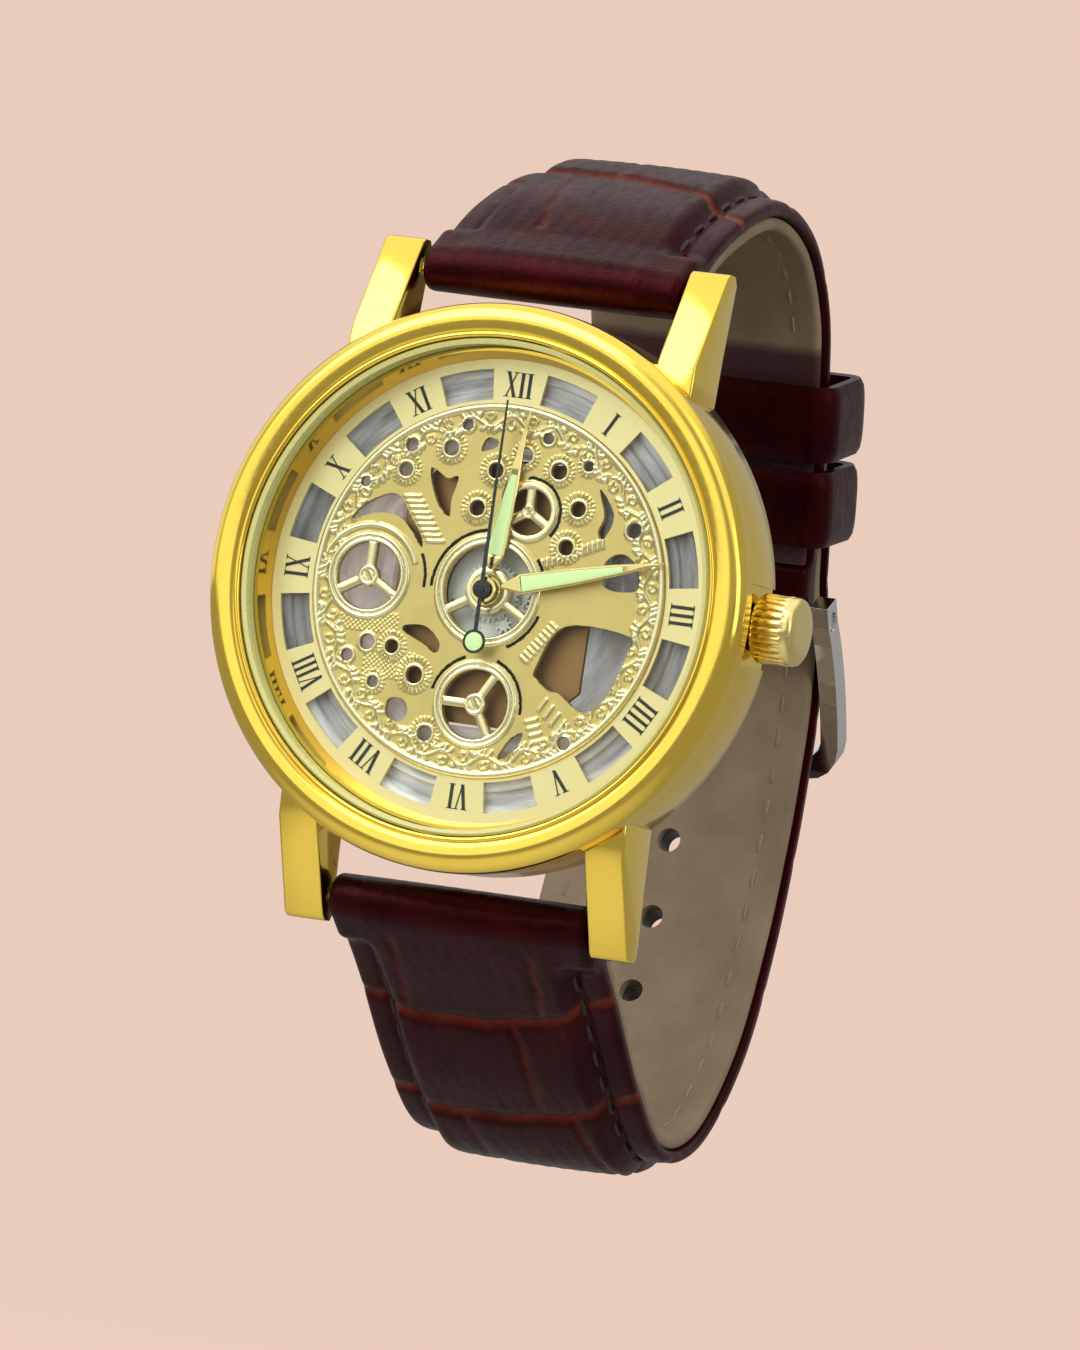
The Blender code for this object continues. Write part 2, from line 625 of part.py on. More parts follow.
def build_motor(steel, copper, silver, brass):
    rotor_x, rotor_z = rotor_place()
    stator = [(rotor_x - 5.6, rotor_z - 1.1), (rotor_x + 4.6, rotor_z - 1.1), (rotor_x + 4.6, 7.0),
              (rotor_x + 3.6, 7.0), (rotor_x + 3.6, rotor_z + 1.2), (rotor_x - 4.6, rotor_z + 1.2),
              (rotor_x - 4.6, 7.0), (rotor_x - 5.6, 7.0)]
    rotor_hole = circle(1.0, (rotor_x, rotor_z), 16)
    finish_solid("stator", plate(stator, [rotor_hole], STATOR_LEVELS), steel)
    coil_place = (rotor_x - 0.5, -2.55, 7.9)
    coil = moved(turned([(0.45, -3.6), (1.0, -3.6), (1.0, 3.6), (0.45, 3.6)], 16, True),
                 coil_place)
    finish_solid("coil", coil, copper)
    core = moved(turned(rod_profile(0.4, (-4.5, 4.5)), 8, True), coil_place)
    finish_solid("coil_core", core, steel)
    can = turned(rod_profile(0.55, (-2.6, 2.6)), 12, True)
    bmesh.ops.rotate(can, verts=can.verts, matrix=Matrix.Rotation(-math.pi / 2, 3, "Y"))
    finish_solid("quartz_can", moved(can, (-6.7, -2.95, 1.6)), silver)
    cell = circle(BATTERY_RADIUS, BATTERY_PLACE, 32)
    finish_solid("battery", plate(cell, [], BATTERY_LEVELS), silver)
    x, z = BATTERY_PLACE
    clip = [(x - 1.0, z + 2.6), (x - 1.0, z - 2.4), (x + 1.0, z - 2.4), (x + 1.0, z + 1.2),
            (x + 3.4, z + 2.9), (x + 2.8, z + 3.7)]
    finish_solid("battery_clip", plate(clip, [], CLIP_LEVELS), brass)


def gear_reach(teeth, module):
    return module * (teeth / 2 + ADDENDUM)


def gear_outline(teeth, module, tooth_angle, centre=(0.0, 0.0)):
    """A ring of straight-sided teeth; one tooth points along tooth_angle (radians)."""
    pitch = 2 * math.pi / teeth
    root = module * (teeth / 2 - DEDENDUM)
    tip = gear_reach(teeth, module)
    points = []
    for n in range(teeth):
        middle = tooth_angle + n * pitch
        for radius, share in ((root, -0.27), (tip, -0.12), (tip, 0.12), (root, 0.27)):
            angle = middle + share * pitch
            points.append((radius * math.cos(angle), radius * math.sin(angle)))
    return points


def mesh_angle(teeth, towards, lead=0.0):
    """Tooth angle that leaves a gap for the other gear's tooth.

    The other gear lies along towards, and lead is how far, in parts of a pitch, its nearest tooth
    stands behind the line between the two centres.
    """
    return towards + (1 + 2 * lead) * math.pi / teeth


def polar(distance, angle, centre=(0.0, 0.0)):
    return (centre[0] + distance * math.cos(angle), centre[1] + distance * math.sin(angle))


def third_wheel_place():
    return polar(SECONDS_STEP_DISTANCE, THIRD_ANGLE)


def intermediate_place():
    return polar(INTERMEDIATE_DISTANCE, INTERMEDIATE_ANGLE)


def rotor_place():
    return polar(ROTOR_STEP_DISTANCE, ROTOR_ANGLE, intermediate_place())


def minute_wheel_place():
    return polar(MINUTE_STEP_DISTANCE, MINUTE_WHEEL_ANGLE)


def setting_wheel_place():
    return polar(SETTING_DISTANCE, SETTING_WHEEL_ANGLE, minute_wheel_place())


def build_arbor(name, layers, material, place, bore=None):
    """A wheel, its pinion and its arbor as one piece, standing on the arbor's axis."""
    x, z = place
    finish_solid(name, moved(stack(layers, bore), (x, 0.0, z)), material, (x, 0.0, z))


def build_seconds_train(brass, steel, magnet):
    pivot = circle(PIVOT_RADIUS, steps=8)
    third = third_wheel_place()
    back_to_center = THIRD_ANGLE + math.pi

    build_arbor("fourth_wheel", [
        (circle(SECONDS_SHAFT_RADIUS, steps=8), SECONDS_SHAFT_FRONT, FOURTH_PINION_LEVELS[0]),
        (gear_outline(FOURTH_LEAVES, FOURTH_TO_THIRD_MODULE, THIRD_ANGLE), *FOURTH_PINION_LEVELS),
        (gear_outline(FOURTH_TEETH, FOURTH_MODULE, mesh_angle(FOURTH_TEETH, INTERMEDIATE_ANGLE)),
         FOURTH_PINION_LEVELS[1], FOURTH_WHEEL_BACK),
        (pivot, FOURTH_WHEEL_BACK, BACK_PIVOT_END),
    ], brass, (0.0, 0.0))

    build_arbor("third_wheel", [
        (pivot, THIRD_PIVOT_FRONT, THIRD_PINION_LEVELS[0]),
        (gear_outline(THIRD_LEAVES, THIRD_TO_CENTER_MODULE, back_to_center), *THIRD_PINION_LEVELS),
        (gear_outline(THIRD_TEETH, FOURTH_TO_THIRD_MODULE, mesh_angle(THIRD_TEETH, back_to_center)),
         THIRD_PINION_LEVELS[1], THIRD_WHEEL_BACK),
        (pivot, THIRD_WHEEL_BACK, BACK_PIVOT_END),
    ], brass, third)

    build_arbor("center_wheel", [
        (gear_outline(CENTER_TEETH, THIRD_TO_CENTER_MODULE, mesh_angle(CENTER_TEETH, THIRD_ANGLE)),
         *CENTER_WHEEL_LEVELS),
        (circle(0.75, steps=12), CENTER_WHEEL_LEVELS[1], CENTER_HUB_BACK),
    ], brass, (0.0, 0.0), circle(0.55, steps=12))

    towards_center = INTERMEDIATE_ANGLE + math.pi
    build_arbor("intermediate_wheel", [
        (pivot, INTERMEDIATE_PIVOT_FRONT, INTERMEDIATE_PINION_LEVELS[0]),
        (gear_outline(INTERMEDIATE_LEAVES, FOURTH_MODULE, towards_center),
         *INTERMEDIATE_PINION_LEVELS),
        (gear_outline(INTERMEDIATE_TEETH, ROTOR_MODULE,
                      mesh_angle(INTERMEDIATE_TEETH, ROTOR_ANGLE)),
         INTERMEDIATE_PINION_LEVELS[1], INTERMEDIATE_WHEEL_BACK),
        (pivot, INTERMEDIATE_WHEEL_BACK, BACK_PIVOT_END),
    ], steel, intermediate_place())

    build_arbor("rotor", [
        (pivot, ROTOR_PIVOT_FRONT, ROTOR_MAGNET_LEVELS[0]),
        (circle(0.75, steps=16), *ROTOR_MAGNET_LEVELS),
        (gear_outline(ROTOR_TEETH, ROTOR_MODULE, ROTOR_ANGLE + math.pi),
         ROTOR_MAGNET_LEVELS[1], ROTOR_PINION_BACK),
        (circle(0.12, steps=6), ROTOR_PINION_BACK, BACK_PIVOT_END),
    ], magnet, rotor_place())


def build_motion_works(white, steel, clutch_pivot):
    tube_bore = circle(0.3, steps=12)
    build_arbor("cannon_pinion", [
        (circle(0.48, steps=12), CANNON_TUBE_FRONT, CANNON_PINION_LEVELS[0]),
        (gear_outline(CANNON_TEETH, MINUTE_MODULE, MINUTE_WHEEL_ANGLE), *CANNON_PINION_LEVELS),
        (circle(0.45, steps=12), CANNON_PINION_LEVELS[1], CANNON_TUBE_BACK),
    ], steel, (0.0, 0.0), tube_bore)

    build_arbor("hour_wheel", [
        (circle(0.76, steps=12), HOUR_TUBE_FRONT, HOUR_WHEEL_LEVELS[0]),
        (gear_outline(HOUR_TEETH, HOUR_MODULE, mesh_angle(HOUR_TEETH, MINUTE_WHEEL_ANGLE)),
         *HOUR_WHEEL_LEVELS),
    ], white, (0.0, 0.0), circle(0.54, steps=12))

    minute_place = minute_wheel_place()
    back = MINUTE_WHEEL_ANGLE + math.pi
    minute_phase = mesh_angle(MINUTE_TEETH, back)
    build_arbor("minute_wheel", [
        (gear_outline(MINUTE_LEAVES, HOUR_MODULE, back), *MINUTE_PINION_LEVELS),
        (gear_outline(MINUTE_TEETH, MINUTE_MODULE, minute_phase),
         MINUTE_PINION_LEVELS[1], MINUTE_WHEEL_BACK),
        (circle(PIVOT_RADIUS, steps=8), MINUTE_WHEEL_BACK, MINUTE_PIVOT_BACK),
    ], white, minute_place)

    lead = (SETTING_WHEEL_ANGLE - minute_phase) * MINUTE_TEETH / (2 * math.pi) % 1
    towards_minute = SETTING_WHEEL_ANGLE + math.pi
    build_arbor("setting_wheel", [
        (gear_outline(SETTING_TEETH, MINUTE_MODULE,
                      mesh_angle(SETTING_TEETH, towards_minute, lead)), *SETTING_WHEEL_LEVELS),
        (circle(0.5, steps=12), SETTING_WHEEL_LEVELS[1], SETTING_HUB_BACK),
    ], steel, setting_wheel_place())

    axis = (0.0, STEM_Y, 0.0)
    clutch_x = setting_wheel_place()[0] + 0.4
    clutch = stack([(gear_outline(CLUTCH_TEETH, CLUTCH_MODULE, 0.0), clutch_x, clutch_x + 0.9),
                    (circle(0.58, steps=12), clutch_x + 0.9, clutch_x + 1.8)],
                   circle(STEM_RADIUS + GAP, steps=12), facing_x)
    finish_solid("clutch_pinion", moved(clutch, axis), steel, axis, clutch_pivot)


def build_setting_lever(steel):
    """A lever behind the stem, with a pin that sits in the stem's groove."""
    middle = sum(STEM_GROOVE) / 2
    arm = 2.0
    level = STEM_Y + STEM_RADIUS + 0.1
    outline = [(middle - 0.5, -0.5), (middle + 0.5, -0.5), (middle + 0.6, arm + 0.5),
               (middle - 0.6, arm + 0.5)]
    pin = circle(0.18, (middle, 0.0), 8)
    pivot_place = (middle, 0.0, arm)
    lever = finish_solid("setting_lever", plate(outline, [], (level, level + 0.15)), steel,
                         pivot_place)
    combine(lever, plate(pin, [], (level - 0.23, level + 0.1)), "UNION")


# ---------------------------------------------------------------- strap

def smooth_curve(waypoints, steps=24):
    """A dense Catmull-Rom curve through the waypoints."""
    first = tuple(2 * a - b for a, b in zip(waypoints[0], waypoints[1]))
    last = tuple(2 * a - b for a, b in zip(waypoints[-1], waypoints[-2]))
    points = [Vector(p) for p in (first, *waypoints, last)]
    curve = []
    for a, b, c, d in zip(points, points[1:], points[2:], points[3:]):
        for n in range(steps):
            t = n / steps
            curve.append(0.5 * (2 * b + (c - a) * t + (2 * a - 5 * b + 4 * c - d) * t * t
                                + (3 * b - a - 3 * c + d) * t ** 3))
    return [*curve, points[-2]]


def curve_length(curve):
    return sum((b - a).length for a, b in zip(curve, curve[1:]))


def along(curve, distance):
    """The point at a distance along the curve, and the curve's direction there."""
    for a, b in zip(curve, curve[1:]):
        step = (b - a).length
        if distance <= step or b is curve[-1]:
            direction = (b - a).normalized()
            return a + direction * distance, direction
        distance -= step


def offset_point(curve, distance, shift, side):
    """A point shifted off the curve; side +1 is left of the direction of travel, -1 right."""
    point, direction = along(curve, distance)
    return (point.x - side * shift * direction.y, point.y + side * shift * direction.x)


def distance_at_height(curve, z, after=0.0):
    """How far along the curve its height passes z, looking only beyond a distance."""
    total = curve_length(curve)
    steps = 600
    places = [after + (total - after) * n / steps for n in range(steps + 1)]
    return min(places, key=lambda place: abs(along(curve, place)[0].y - z))


def short_curve():
    return smooth_curve(SHORT_WAYPOINTS)


def long_curve():
    """The long piece's own waypoints, and then points that lie on the short piece."""
    short = short_curve()
    end = curve_length(short)
    on_short = [offset_point(short, end - contact, TAIL_LIFT, 1) for contact in TAIL_CONTACTS]
    return smooth_curve([*LONG_WAYPOINTS, offset_point(short, end, TAIL_LIFT + 0.35, 1), *on_short])


def thickness_at(span, distance, total):
    return span[0] + (span[1] - span[0]) * distance / total


def half_width_at(distance, total):
    return STRAP_HALF_LUG + (STRAP_HALF_END - STRAP_HALF_LUG) * distance / total


def stations(start, end):
    count = max(2, round((end - start) / STATION_SPACING))
    return [start + (end - start) * n / count for n in range(count + 1)]


def strap_leather(curve, side, span, fold_end):
    """The outer leather: it wraps the lug bar, and the buckle bar too when fold_end is set."""
    total = curve_length(curve)
    points, halves = [], []

    def add(distance, level):
        points.append(offset_point(curve, distance, level, side))
        halves.append(half_width_at(distance, total))

    def add_nose(distance, start_degrees, radius):
        centre, direction = along(curve, distance)
        normal = Vector((-side * direction.y, side * direction.x))
        for n in range(1, 8):
            angle = math.radians(start_degrees - 180 * n / 8)
            place = centre + radius * (math.cos(angle) * direction + math.sin(angle) * normal)
            points.append((place.x, place.y))
            halves.append(half_width_at(distance, total))

    inner_start = FOLD_LENGTH
    inner_end = total - FOLD_LENGTH if fold_end else total
    for distance in stations(0.0, total):
        add(distance, thickness_at(span, distance, total) / 2)
    if fold_end:
        add_nose(total, 90, thickness_at(span, total, total) / 2)
        add(total, -thickness_at(span, total, total) / 2)
        add(inner_end, -thickness_at(span, inner_end, total) / 2)
    for distance in reversed(stations(inner_start, inner_end)):
        add(distance, LINING_THICKNESS + GAP - thickness_at(span, distance, total) / 2)
    add(inner_start, -thickness_at(span, inner_start, total) / 2)
    add(0.0, -thickness_at(span, 0.0, total) / 2)
    add_nose(0.0, 270, thickness_at(span, 0.0, total) / 2)
    return points, halves


def strap_lining(curve, side, span, fold_end):
    total = curve_length(curve)
    end = total - FOLD_LENGTH - GAP if fold_end else total - 0.6
    places = stations(FOLD_LENGTH, total - FOLD_LENGTH if fold_end else total)
    places[0] += GAP
    places[-1] = end
    inner = [offset_point(curve, s, -thickness_at(span, s, total) / 2, side) for s in places]
    outer = [offset_point(curve, s, LINING_THICKNESS - thickness_at(span, s, total) / 2, side)
             for s in reversed(places)]
    halves = [half_width_at(s, total) - 0.3 for s in (*places, *reversed(places))]
    return inner + outer, halves


def round_tail(points, halves, curve):
    """Narrows the last stations to a rounded tip."""
    tip = along(curve, curve_length(curve))[0]
    reach = 4.5
    for n, (y, z) in enumerate(points):
        left = (Vector((y, z)) - tip).length
        if left < reach and z > 0:
            halves[n] *= 0.55 + 0.45 * left / reach


def strap_solid(name, outline, halves, tunnels, material, pivot, parent):
    """A side outline made as wide as the strap, with tunnels along X for the bars."""
    reach = list(halves)
    for centre, hole in tunnels:
        nearest = min(range(len(outline)), key=lambda n: math.dist(outline[n], centre))
        reach += [halves[nearest]] * len(hole)
    holes = [hole for _, hole in tunnels]
    shape = prism(outline, holes, [-w for w in reach], reach, facing_x)
    return finish_solid(name, shape, material, pivot, parent)


def punch(item, curve, distance, half_length, radius):
    """An oblong hole through the strap's thickness."""
    point, direction = along(curve, distance)
    shape = plate(arc((0.0, half_length), radius, 0, 180, 5)
                  + arc((0.0, -half_length), radius, 180, 360, 5), [], (-3.0, 3.0))
    angle = math.atan2(direction.y, direction.x) - math.pi / 2
    bmesh.ops.rotate(shape, verts=shape.verts, matrix=Matrix.Rotation(angle, 3, "X"))
    combine(item, moved(shape, (0.0, point.x, point.y)), "DIFFERENCE")


def build_short_strap(leather, lining, pivot):
    curve = short_curve()
    end = along(curve, curve_length(curve))[0]
    place = (0.0, BAR_Y, BAR_Z)
    tunnels = [((BAR_Y, BAR_Z), circle(BAR_TUNNEL, (BAR_Y, BAR_Z), 12)),
               ((end.x, end.y), circle(BUCKLE_TUNNEL, (end.x, end.y), 12))]
    outline, halves = strap_leather(curve, 1, SHORT_THICKNESS, True)
    upper = strap_solid("strap_short_leather", outline, halves, tunnels, leather, place, pivot)
    slot = [(end.x - 3.0, end.y - 3.0), (end.x + 3.0, end.y - 3.0), (end.x + 3.0, end.y + 3.6),
            (end.x - 3.6, end.y + 3.6)]
    combine(upper, plate(slot, [], (-TONGUE_SLOT_HALF, TONGUE_SLOT_HALF), facing_x), "DIFFERENCE")
    outline, halves = strap_lining(curve, 1, SHORT_THICKNESS, True)
    strap_solid("strap_short_lining", outline, halves, [], lining, place, pivot)


def build_long_strap(leather, lining, pivot):
    curve = long_curve()
    place = (0.0, BAR_Y, -BAR_Z)
    tunnels = [((BAR_Y, -BAR_Z), circle(BAR_TUNNEL, (BAR_Y, -BAR_Z), 12))]
    outline, halves = strap_leather(curve, -1, LONG_THICKNESS, False)
    round_tail(outline, halves, curve)
    upper = strap_solid("strap_long_leather", outline, halves, tunnels, leather, place, pivot)
    outline, halves = strap_lining(curve, -1, LONG_THICKNESS, False)
    round_tail(outline, halves, curve)
    under = strap_solid("strap_long_lining", outline, halves, [], lining, place, pivot)
    used = distance_at_height(curve, SHORT_WAYPOINTS[-1][1] + USED_HOLE_RISE, 60.0)
    for item in (upper, under):
        punch(item, curve, used, USED_HOLE_HALF, TONGUE_HALF + 0.25)
        for n in range(1, HOLE_COUNT):
            punch(item, curve, used - 0.8 - n * HOLE_PITCH, 0.0, HOLE_RADIUS)


def build_spring_bar(name, end, steel, tip_pivots):
    """A barrel between the lugs and a sprung tip at each side."""
    axis = (0.0, BAR_Y, end * BAR_Z)
    bottom = BARREL_HALF - BAR_BORE_DEPTH
    barrel = [(0.0, -bottom), (BAR_BORE, -bottom), (BAR_BORE, -BARREL_HALF),
              (BARREL_RADIUS, -BARREL_HALF), (BARREL_RADIUS, BARREL_HALF),
              (BAR_BORE, BARREL_HALF), (BAR_BORE, bottom), (0.0, bottom)]
    finish_solid(name, moved(turned(barrel, 12, True), axis), steel, axis)
    tip = [(0.0, TIP_START), (TIP_RADIUS, TIP_START), (TIP_RADIUS, COLLAR_START),
           (COLLAR_RADIUS, COLLAR_START), (COLLAR_RADIUS, COLLAR_END), (TIP_RADIUS, COLLAR_END),
           (TIP_RADIUS, TIP_END), (0.0, TIP_END)]
    for side, label in ((1, "right"), (-1, "left")):
        profile = [(radius, side * level) for radius, level in tip]
        shape = moved(turned(profile, 8, True), axis)
        tip_name = f"{name}_tip_{label}"
        finish_solid(tip_name, shape, steel, axis, tip_pivots[tip_name])


def build_keeper(name, z, leather, pivot_place, parent):
    """A leather loop round the short piece and the tail that lies on it."""
    curve = short_curve()
    distance = distance_at_height(curve, z, 30.0)
    point, direction = along(curve, distance)
    total = curve_length(curve)
    under = thickness_at(SHORT_THICKNESS, distance, total) / 2
    low = -under - KEEPER_CLEARANCE
    high = TAIL_LIFT + LONG_THICKNESS[1] / 2 + 0.1 + KEEPER_CLEARANCE
    half = half_width_at(distance, total) + 0.35

    def rounded(width, bottom, top, radius):
        corners = [((width - radius, top - radius), 0), ((-width + radius, top - radius), 90),
                   ((-width + radius, bottom + radius), 180), ((width - radius, bottom + radius), 270)]
        return [p for centre, start in corners for p in arc(centre, radius, start, start + 90, 3)]

    outer = rounded(half + KEEPER_WALL, low - KEEPER_WALL, high + KEEPER_WALL, 1.4)
    inner = rounded(half, low, high, 0.4)
    normal = Vector((-direction.y, direction.x))

    def placed(across, lift, run):
        spot = point + normal * lift + direction * run
        return (across, spot.x, spot.y)

    shape = plate(outer, [inner], (-KEEPER_LENGTH / 2, KEEPER_LENGTH / 2), placed)
    finish_solid(name, shape, leather, pivot_place, parent)


# ---------------------------------------------------------------- buckle

def buckle_frame_places():
    """The bar's centre, the direction to the front bar, the way out of the strap, and the length."""
    end = Vector(SHORT_WAYPOINTS[-1])
    reach = Vector(FRONT_BAR) - end
    direction = reach.normalized()
    outward = Vector((-direction.y, direction.x))
    return end, direction, outward, reach.length


def build_buckle(steel, frame_pivot, tongue_pivot):
    end, direction, outward, length = buckle_frame_places()
    place = (0.0, end.x, end.y)
    half = BUCKLE_THICKNESS / 2
    start, stop = -1.5, length + half
    rows = 7

    def bent(across, run, lift):
        share = min(max(run / length, 0.0), 1.0)
        bow = 4 * BUCKLE_BOW * share * (1 - share)
        spot = end + direction * run + outward * (lift + bow)
        return (across, spot.x, spot.y)

    outer_corner = 2.6
    right = [(BUCKLE_OUTER_HALF, start + (stop - outer_corner - start) * n / rows)
             for n in range(rows + 1)]
    corner = arc((BUCKLE_OUTER_HALF - outer_corner, stop - outer_corner), outer_corner, 0, 90, 4)[1:]
    right_side = right + corner
    left_side = [(-a, b) for a, b in reversed(right_side)]
    inner_stop = length - half
    inner = [(BUCKLE_INNER_HALF, start + (inner_stop - 1.2 - start) * n / rows)
             for n in range(rows + 1)]
    inner += arc((BUCKLE_INNER_HALF - 1.2, inner_stop - 1.2), 1.2, 0, 90, 3)[1:]
    inner_left = [(-a, b) for a, b in reversed(inner)]
    outline = right_side + left_side + list(reversed(inner + inner_left))
    frame = finish_solid("buckle_frame", plate(outline, [], (-half, half), bent), steel, place,
                         frame_pivot)
    bar_hole = circle(BUCKLE_BAR_RADIUS + 0.03, (end.x, end.y), 12)
    hole_levels = (-BUCKLE_OUTER_HALF - 1, BUCKLE_OUTER_HALF + 1)
    combine(frame, plate(bar_hole, [], hole_levels, facing_x), "DIFFERENCE")

    bar = rod_profile(BUCKLE_BAR_RADIUS, (-BUCKLE_OUTER_HALF + 0.2, BUCKLE_OUTER_HALF - 0.2))
    finish_solid("buckle_bar", moved(turned(bar, 12, True), place), steel, place, frame_pivot)
    build_tongue(steel, end, tongue_pivot)


def build_tongue(steel, end, pivot):
    """A ring round the bar, a neck through the strap's hole and a blade to the front bar."""
    _, direction, outward, length = buckle_frame_places()
    t = TONGUE_THICKNESS
    rest = BUCKLE_THICKNESS / 2 + 0.25

    def beside_bar(run, lift):
        spot = end + direction * run + outward * lift
        return (spot.x, spot.y)

    ring = arc((end.x, end.y), TONGUE_RING, 25, 335, 12)
    outline = [
        (end.x + 4.75, end.y - t / 2), beside_bar(length - 1.1, rest),
        beside_bar(length + 1.2, rest), beside_bar(length + 1.4, rest + 0.4),
        beside_bar(length + 1.1, rest + 0.8), beside_bar(length - 1.0, rest + t),
        (end.x + 5.7, end.y), (end.x + 5.2, end.y + t / 2), *ring,
    ]
    hole = circle(BUCKLE_BAR_RADIUS + 0.05, (end.x, end.y), 12)
    shape = plate(outline, [hole], (-TONGUE_HALF, TONGUE_HALF), facing_x)
    finish_solid("buckle_tongue", shape, steel, (0.0, end.x, end.y), pivot)


def keeper_turn_centre():
    """Where the free keeper's sliding path has its centre, as it follows the curved strap."""
    curve = short_curve()
    middle = distance_at_height(curve, FREE_KEEPER_Z, 30.0)
    a, b, c = (along(curve, middle + shift)[0] for shift in (-8.0, -2.5, 3.0))
    d = 2 * (a.x * (b.y - c.y) + b.x * (c.y - a.y) + c.x * (a.y - b.y))
    sa, sb, sc = a.length_squared, b.length_squared, c.length_squared
    y = (sa * (b.y - c.y) + sb * (c.y - a.y) + sc * (a.y - b.y)) / d
    z = (sa * (c.x - b.x) + sb * (a.x - c.x) + sc * (b.x - a.x)) / d
    return (0.0, y, z)


# ---------------------------------------------------------------- whole watch

def build_watch():
    gold = make_material("polished_gold", (0.83, 0.62, 0.13), 0.12, 1.0)
    dial_gold = make_material("champagne_gold", (0.80, 0.66, 0.28), 0.35, 1.0)
    steel = make_material("steel", (0.62, 0.62, 0.64), 0.3, 1.0)
    buckle_steel = make_material("buckle_steel", (0.7, 0.7, 0.72), 0.2, 1.0)
    brass = make_material("brass", (0.6, 0.42, 0.2), 0.35, 1.0)
    white = make_material("white_plastic", (0.82, 0.83, 0.80), 0.5)
    copper = make_material("copper_wire", (0.6, 0.28, 0.12), 0.4, 1.0)
    battery_steel = make_material("cell_steel", (0.75, 0.75, 0.75), 0.25, 1.0)
    board = make_material("circuit_board", (0.06, 0.25, 0.1), 0.5)
    clear = make_material("clear_plastic", (0.9, 0.92, 0.92), 0.1, 0.0, 0.9)
    glass = make_material("glass", (0.95, 0.97, 0.96), 0.02, 0.0, 1.0)
    nylon = make_material("nylon", (0.72, 0.8, 0.6), 0.35)
    rubber = make_material("rubber", (0.04, 0.04, 0.04), 0.7)
    black = make_material("black_lacquer", (0.01, 0.01, 0.01), 0.3)
    leather = make_material("maroon_leather", (0.045, 0.01, 0.012), 0.4)
    lining = make_material("taupe_lining", (0.25, 0.18, 0.11), 0.75)

    build_mid_case(gold)
    build_bezel(gold)
    build_crystal(glass)
    build_crystal_gasket(nylon)
    build_rehaut_ring(gold)
    build_dial(dial_gold)
    build_case_back(gold, glass, rubber)

    crown_pivot = make_pivot("crown_pivot", (0.0, STEM_Y, 0.0))
    build_crown(gold, steel, rubber, crown_pivot)
    build_crown_tube(steel)

    build_hands(gold, black)
    build_movement_plates(brass, steel, board, clear)
    build_motor(steel, copper, battery_steel, brass)
    build_seconds_train(brass, steel, battery_steel)
    build_motion_works(white, steel, crown_pivot)
    build_setting_lever(steel)

    bar_12 = make_pivot("strap_12_pivot", (0.0, BAR_Y, BAR_Z))
    bar_6 = make_pivot("strap_6_pivot", (0.0, BAR_Y, -BAR_Z))
    build_short_strap(leather, lining, bar_12)
    build_long_strap(leather, lining, bar_6)
    for name, end, pivot in (("spring_bar_12", 1, bar_12), ("spring_bar_6", -1, bar_6)):
        tips = {f"{name}_tip_{label}": pivot for label in ("right", "left")}
        build_spring_bar(name, end, steel, tips)

    build_keeper("keeper_fixed", FIXED_KEEPER_Z, leather, (0.0, BAR_Y, BAR_Z), bar_12)
    build_keeper("keeper_free", FREE_KEEPER_Z, leather, keeper_turn_centre(), bar_12)

    end = SHORT_WAYPOINTS[-1]
    buckle_pivot = make_pivot("buckle_pivot", (0.0, end[0], end[1]))
    build_buckle(buckle_steel, buckle_pivot, buckle_pivot)


clear_scene()
build_watch()
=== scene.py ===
"""Looks of the wristwatch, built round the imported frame.

Lengths in this script are millimetres in the frame's own axes: +X to 3 o'clock, +Z to 12 o'clock,
-Y out of the dial. piece() turns them into metres.
"""

import math

import bmesh
import bpy
import numpy as np
from mathutils import Matrix, Vector
from mathutils.geometry import tessellate_polygon


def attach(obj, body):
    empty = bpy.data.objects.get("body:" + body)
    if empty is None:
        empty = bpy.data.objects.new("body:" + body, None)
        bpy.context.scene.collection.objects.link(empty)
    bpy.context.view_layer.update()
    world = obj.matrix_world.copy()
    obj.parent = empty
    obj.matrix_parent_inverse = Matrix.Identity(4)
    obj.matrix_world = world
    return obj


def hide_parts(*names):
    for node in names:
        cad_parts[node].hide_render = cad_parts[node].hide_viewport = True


MM = 0.001
WELD_DISTANCE = 0.002
CAD_WELD = 0.001
BEVEL_ANGLE = 35.0
LEATHER_SHARP = 60.0

# Case
CASE_RADIUS = 20.0
CASE_FRONT = -6.4
CASE_BACK = -0.3
CASE_BORE = 17.3
BACK_SEAT_RADIUS = 18.06
BACK_SEAT_FLOOR = -1.7
BEZEL_INNER = 17.7
BEZEL_OUTER = 20.25
BEZEL_TOP = -8.6
BEZEL_SHOULDER = -7.1
BEZEL_ROUND = 1.25
CRYSTAL_RADIUS = 17.2
CRYSTAL_FRONT = -8.4
CRYSTAL_BACK = -6.95
CRYSTAL_BEVEL = 0.25
HOLDER_RADIUS = 17.05
HOLDER_LEVELS = (-4.3, -1.8)
HOLDER_OPENING = (7.7, 9.7, 3.2)  # half sizes across and up, and the cut corners' size
STEM_HOLE_RADIUS = 1.2
LEVER_ROOM = [(-2.4, -1.2), (-1.7, -1.2), (-1.7, 2.0), (-2.4, 2.0)]
LUG_SIDE = [(-5.9, 14.95), (-5.6, 17.6), (-1.8, 24.3), (-1.4, 24.6), (-0.2, 24.6),
            (0.3, 24.0), (-0.3, 19.0), (-0.6, 14.95)]
LUG_INNER = 10.2
LUG_OUTER = 13.2
BAR_Y = -0.7
BAR_Z = 22.7
STEM_Y = -2.8
CROWN_RADIUS = 2.5
CROWN_START = 19.7
CROWN_END = 23.0
CROWN_FLUTES = 24
CROWN_FLUTE_DEPTH = 0.15
NOTCH_FLOOR = 19.4
NOTCH_HALF = 2.9
